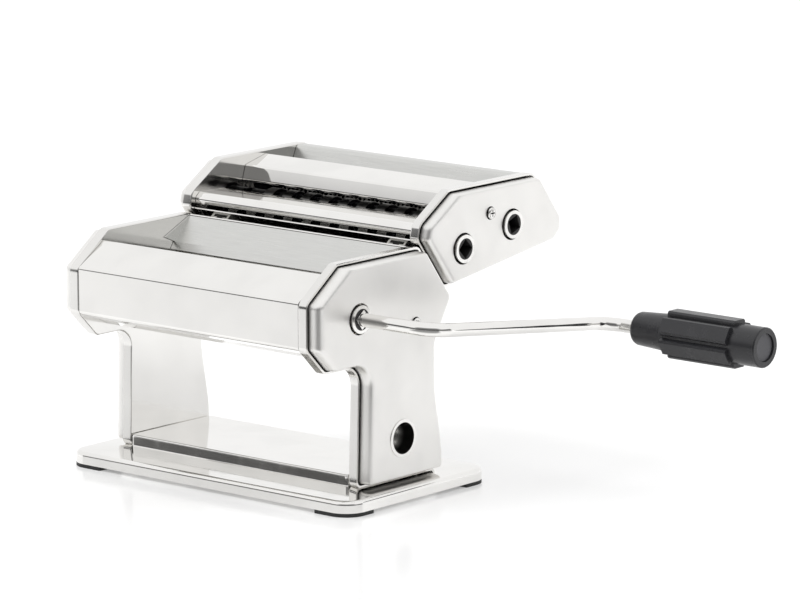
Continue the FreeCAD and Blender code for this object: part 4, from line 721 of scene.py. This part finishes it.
def studio():
    return bpy.context.scene.studio_setup


# One operator for each piece or group of like pieces


class PieceOperator:
    bl_options = {"REGISTER", "UNDO"}

    def execute(self, context):
        self.build()
        return {"FINISHED"}


class MACHINE_OT_finishes(PieceOperator, bpy.types.Operator):
    """Make the chrome, steel, plastic and rubber finishes"""
    bl_idname = "machine.finishes"
    bl_label = "Finishes"

    def build(self):
        make_finishes(look())


class MACHINE_OT_base(PieceOperator, bpy.types.Operator):
    """Draw the base plate with its rolled edge and raised middle, and dress the feet"""
    bl_idname = "machine.base"
    bl_label = "Base"

    def build(self):
        roll, top, crown = shape().base_roll, 9.0, 15.5
        foot, brow, fall = 0.5, 0.9, 0.6

        def plate(step):
            return oblong(99.5 - step, 57 - step, 12 - step)

        def middle(step):
            return oblong(76.5 - step, 31.5 - step, max(2 - step, 0.6))

        shoulder = top - fall - roll
        rings = [level(plate(0), 2.0), level(plate(0), shoulder)]
        for side, up in quarter_turn(6)[1:]:
            rings.append(level(plate(roll * (1 - side)), shoulder + roll * up))
        for side, up in quarter_turn(4):
            rings.append(level(middle(-foot * (1 - up)), top + fall + foot * (1 - side)))
        for side, up in quarter_turn(5):
            rings.append(level(middle(brow * (1 - side)), crown - brow + brow * up))
        piece = drawn_through("base_plate_shell", rings)
        facing(piece, Vector((0, 0, 1)))
        thicken(piece, 1.2)
        round_edges(piece, 0, angle=50)
        finished(piece, "base_plate", "base_chrome")
        dressed("rubber_feet", 0.3)
        dressed("base_screws", 0.2)


class MACHINE_OT_side_covers(PieceOperator, bpy.types.Operator):
    """Draw the two side covers and drill their holes"""
    bl_idname = "machine.side_covers"
    bl_label = "Side covers"

    def build(self):
        holes = {"right": [(DRIVE_AXIS, 8.3), (CLAMP_AXIS, 8.9), ((8, 90.8), 1.46)],
                 "left": [(KNOB_AXIS, 3.06), ((6, 62), 1.46)]}
        for side, sign in (("left", -1), ("right", 1)):
            piece = cover_shell(side + "_cover_shell", FLANK, FLANK_RADII, FLANK_BEVELS,
                                sign, FLANK_SEAT, FLANK_FACE)
            drilled(piece, holes[side], sign * FLANK_FACE)
            round_edges(piece, shape().sheet_edge, 2, 50)
            finished(piece, side + "_side_cover", "cover")


class MACHINE_OT_cutter_covers(PieceOperator, bpy.types.Operator):
    """Draw the cutter head's two covers and drill their holes"""
    bl_idname = "machine.cutter_covers"
    bl_label = "Cutter covers"

    def build(self):
        for side, sign in (("left", -1), ("right", 1)):
            piece = cover_shell(side + "_cutter_shell", CUTTER, CUTTER_RADII,
                                CUTTER_BEVELS, sign, CUTTER_SEAT, CUTTER_FACE)
            holes = [((70.6, 140), 1.46)]
            if side == "right":
                holes += [(WIDE_AXIS, 8.4), (NARROW_AXIS, 8.4)]
            drilled(piece, holes, sign * CUTTER_FACE)
            round_edges(piece, shape().sheet_edge, 2, 50)
            finished(piece, side + "_cutter_cover", "cover")


class MACHINE_OT_frame_plates(PieceOperator, bpy.types.Operator):
    """Dress the frame plates, the eyelet and everything that screws to them"""
    bl_idname = "machine.frame_plates"
    bl_label = "Frame plates"

    def build(self):
        for side in ("left", "right"):
            dressed(side + "_frame_plate", 0.25, rim=0.8)
            dressed(side + "_cutter_plate", 0.25, rim=0.8)
        dressed("clamp_sleeve", 0.15, finish="sleeve")
        for node in ("tie_rods", "tie_rod_nuts", "cover_posts", "cutter_cover_posts",
                     "cutter_tie_rods"):
            kept(node)
        dressed("cover_screws", 0.12, finish="cover_screw")
        dressed("cutter_cover_screws", 0.12, finish="cutter_screw")


class MACHINE_OT_hopper(PieceOperator, bpy.types.Operator):
    """Bend the front panel and the rear panel, and dress the hopper plate and scrapers"""
    bl_idname = "machine.hopper"
    bl_label = "Hopper"

    def build(self):
        edge = shape().sheet_edge
        path = [(-46, 77.8), (-54, 81.5), (-69.5, 87), (-69.5, 111.5), (-53, 121.6),
                (-49, 125), (-46.5, 117.5)]
        finished(bent_sheet("front_panel_sheet", path[::-1], 1.0, 1.2, edge),
                 "front_panel")
        path = [(17.7, 128.4), (38.25, 101), (24.7, 82)]
        finished(bent_sheet("rear_panel_sheet", path[::-1], 1.0, 2.0, edge),
                 "rear_panel")
        dressed("hopper_rear_plate", edge)
        kept("front_scraper")
        kept("rear_scraper")


class MACHINE_OT_rollers(PieceOperator, bpy.types.Operator):
    """Dress the sheeting rollers with their gears, bushes and blocks"""
    bl_idname = "machine.rollers"
    bl_label = "Sheeting rollers"

    def build(self):
        dressed("drive_roller", shape().turned_edge)
        dressed("rear_roller", shape().turned_edge)
        for node in ("drive_gear", "rear_roller_gear", "drive_bushes", "bearing_blocks"):
            dressed(node, 0.12)


class MACHINE_OT_regulator(PieceOperator, bpy.types.Operator):
    """Dress the thickness knob with its dial, shafts, gears and cams"""
    bl_idname = "machine.regulator"
    bl_label = "Thickness regulator"

    def build(self):
        dressed("regulator_knob", 0.2)
        dressed("knob_cap", 0.25)
        dressed("index_plate", 0.2)
        for node in ("regulator_shaft", "regulator_gear", "sync_gear", "index_pin",
                     "sync_shaft", "sync_bushes", "gap_cams"):
            kept(node)
        spring = dressed("knob_spring", 0)
        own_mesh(spring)


class MACHINE_OT_crank(PieceOperator, bpy.types.Operator):
    """Dress the bent crank with its grip, ring and end disc"""
    bl_idname = "machine.crank"
    bl_label = "Crank"

    def build(self):
        dressed("crank_rod", 0)
        dressed("crank_grip", 0.35, 3)
        dressed("grip_end_disc", 0.3)
        kept("grip_retaining_ring")


class MACHINE_OT_cutter_sheets(PieceOperator, bpy.types.Operator):
    """Bend the cutter head's guard, divider, lower panel and rear plate"""
    bl_idname = "machine.cutter_sheets"
    bl_label = "Cutter sheets"

    def build(self):
        edge = shape().sheet_edge
        path = [(22.3, 133.2), (21.3, 136.2), (24.8, 139.3), (46.5, 138.5), (50.2, 135.6)]
        finished(bent_sheet("guard_sheet", path[::-1], 0.9, 1.5, edge),
                 "cutter_front_guard")
        path = [(20.575, 130.9), (37.375, 108.5), (47, 107)]
        finished(bent_sheet("lower_panel_sheet", path, 0.9, 1.2, edge),
                 "cutter_lower_panel")
        path = [(98.8, 143), (104, 155), (111.5, 155), (129.5, 131), (129.5, 122.5),
                (124, 118.5), (112, 116.4)]
        finished(bent_sheet("cutter_back_sheet", path[::-1], 0.9, 2.0, edge),
                 "cutter_rear_plate")
        prism = rounded([(59, 140.2), (84, 142.6), (79.5, 153.6), (62, 149.4)],
                        [1.6] * 4, 8)
        piece = drawn_through("divider_tube", between_flanks(prism), False, False)
        facing(piece, Vector((0, -0.97, 0.24)))
        thicken(piece, 0.9)
        round_edges(piece, edge, 2, 60)
        finished(piece, "cutter_divider")


class MACHINE_OT_cutter_rollers(PieceOperator, bpy.types.Operator):
    """Dress the cutting rollers, their gears, the combs and the mounting rails"""
    bl_idname = "machine.cutter_rollers"
    bl_label = "Cutting rollers"

    def build(self):
        for kind in ("wide", "narrow"):
            for place in ("driven", "idler"):
                pair = "%s_%s" % (kind, place)
                dressed(pair + "_roller", 0.12 if kind == "wide" else 0, 1, pair)
                kept(pair + "_gear")
        kept("cutter_combs")
        dressed("mount_rails", 0.15)
        # The rail tongues get near-black plating as painted shade.
        dressed("rail_tongues", 0.15, finish="dark_plating")


class MACHINE_OT_studio(PieceOperator, bpy.types.Operator):
    """Set up the white table, the soft light and the camera"""
    bl_idname = "machine.studio"
    bl_label = "Studio"

    def build(self):
        self.table()
        self.sky()
        self.lamps()
        self.camera()

    def table(self):
        bpy.ops.object.select_all(action="DESELECT")
        bpy.ops.mesh.primitive_plane_add(size=24.0)
        floor = bpy.context.active_object
        floor.name = "table"
        finish = finish_named("White table")
        finish.node("ShaderNodeLightPath")
        path = finish.tree.nodes[-1].outputs
        mirrored = Value(finish, path["Is Glossy Ray"]).largest(
            Value(finish, path["Is Transmission Ray"]))
        seen = mirrored.largest(Value(finish, path["Is Camera Ray"]))
        way = studio().card
        ahead = finish.along("X") * math.sin(way) - finish.along("Y") * math.cos(way)
        beside = finish.along("X") * math.cos(way) + finish.along("Y") * math.sin(way)
        edge = ahead * 0.75 + 60.0 - abs(beside)
        # Painted reflection: a dark card on the table that only mirrored rays see, so the
        # chrome shows dark streaks.
        card = mirrored * ahead.step(150.0, 260.0) * edge.step(0.0, 90.0) * 0.75
        white = finish.blend(finish.noise(300, 2), colour(0.9, 0.9, 0.9),
                             colour(0.88, 0.88, 0.88))
        shader = finish.node("ShaderNodeBsdfPrincipled", None, {
            "Base Color": finish.blend(card, white, colour(0.06, 0.06, 0.06)),
            "Roughness": 0.16, "IOR": 1.45})
        glow = finish.node("ShaderNodeEmission", None, {
            "Color": colour(1, 1, 1), "Strength": (seen - card) * 0.24})
        both = finish.node("ShaderNodeAddShader", None, {0: shader, 1: glow})
        finish.node("ShaderNodeOutputMaterial", None, {"Surface": both})
        floor.data.materials.append(finish.owner)

    def sky(self):
        world = bpy.data.worlds.new("Studio sky")
        bpy.context.scene.world = world
        finish = Finish(world)
        finish.node("ShaderNodeLightPath")
        path = finish.tree.nodes[-1].outputs
        camera = Value(finish, path["Is Camera Ray"])
        glossy = Value(finish, path["Is Glossy Ray"]).largest(
            Value(finish, path["Is Transmission Ray"]))
        way = finish.node("ShaderNodeTexCoord", output="Generated")
        x, y, z = [finish.node("ShaderNodeSeparateXYZ", None, {0: way}, axis)
                   for axis in "XYZ"]
        card = studio().card
        # Painted reflections: dark zones toward the camera's side that only mirrored rays see.
        toward = x * math.sin(card) - y * math.cos(card)
        low = toward.step(-0.02, 0.14) * z.step(0.35, 0.21)
        high = toward.step(0.55, 0.8) * z.step(0.62, 0.45) * 0.85
        mirrored = 1.0 - low.largest(high) * 0.9
        seen = camera.largest(glossy * mirrored)
        plain = (1.0 - camera.largest(glossy)) * studio().sky
        sky = finish.node("ShaderNodeBackground", None, {
            "Color": colour(1, 1, 1), "Strength": seen + plain})
        finish.node("ShaderNodeOutputWorld", None, {"Surface": sky})

    def lamps(self):
        for name, spot, size, watts in (
                ("key_lamp", (-1.4, -1.0, 2.4), 1.8, 34.0),
                ("fill_lamp", (1.6, 1.2, 2.2), 1.8, 16.0)):
            lamp = bpy.data.lights.new(name, "AREA")
            lamp.shape, lamp.size, lamp.energy = "DISK", size, watts
            holder = bpy.data.objects.new(name, lamp)
            bpy.context.scene.collection.objects.link(holder)
            holder.location = spot
            holder.visible_glossy = False
            aim = Vector(LAMP_TARGET) - Vector(spot)
            holder.rotation_euler = aim.to_track_quat("-Z", "Y").to_euler()

    def camera(self):
        setup = studio()
        view = bpy.data.cameras.new("view")
        view.lens, view.sensor_width = setup.lens, 36.0
        view.clip_start, view.clip_end = 0.1, 50.0
        holder = bpy.data.objects.new("view", view)
        bpy.context.scene.collection.objects.link(holder)
        target = Vector(VIEW_TARGET)
        back = Vector((math.sin(setup.yaw) * math.cos(setup.pitch),
                       -math.cos(setup.yaw) * math.cos(setup.pitch),
                       math.sin(setup.pitch)))
        right = Vector((math.cos(setup.yaw), math.sin(setup.yaw), 0))
        up = back.cross(right)
        roll = math.radians(VIEW_ROLL)
        side = right * math.cos(roll) + up * math.sin(roll)
        top = up * math.cos(roll) - right * math.sin(roll)
        turn = Matrix((side, top, back)).transposed()
        holder.matrix_world = Matrix.Translation(target + back * setup.distance) \
            @ turn.to_4x4()
        bpy.context.scene.camera = holder
        bpy.context.scene.view_settings.view_transform = "Standard"


STEPS = (
    MACHINE_OT_finishes, MACHINE_OT_base, MACHINE_OT_side_covers, MACHINE_OT_cutter_covers,
    MACHINE_OT_frame_plates, MACHINE_OT_hopper, MACHINE_OT_rollers, MACHINE_OT_regulator,
    MACHINE_OT_crank, MACHINE_OT_cutter_sheets, MACHINE_OT_cutter_rollers,
    MACHINE_OT_studio,
)


class VIEW3D_PT_machine(bpy.types.Panel):
    bl_label = "Pasta Machine"
    bl_space_type = "VIEW_3D"
    bl_region_type = "UI"
    bl_category = "Pasta Machine"

    def draw(self, context):
        layout = self.layout
        for group in (context.scene.machine_look, context.scene.machine_shape,
                      context.scene.studio_setup):
            box = layout.box()
            for name in group.__annotations__:
                box.prop(group, name)
        for step in STEPS:
            layout.operator(step.bl_idname)


GROUPS = (MachineLook, MachineShape, StudioSetup)


def register():
    for item in GROUPS + STEPS + (VIEW3D_PT_machine,):
        bpy.utils.register_class(item)
    bpy.types.Scene.machine_look = bpy.props.PointerProperty(type=MachineLook)
    bpy.types.Scene.machine_shape = bpy.props.PointerProperty(type=MachineShape)
    bpy.types.Scene.studio_setup = bpy.props.PointerProperty(type=StudioSetup)


def unregister():
    del bpy.types.Scene.studio_setup
    del bpy.types.Scene.machine_shape
    del bpy.types.Scene.machine_look
    for item in reversed(GROUPS + STEPS + (VIEW3D_PT_machine,)):
        bpy.utils.unregister_class(item)


def main():
    register()
    for step in STEPS:
        family, name = step.bl_idname.split(".")
        getattr(getattr(bpy.ops, family), name)()


if __name__ == "__main__":
    main()
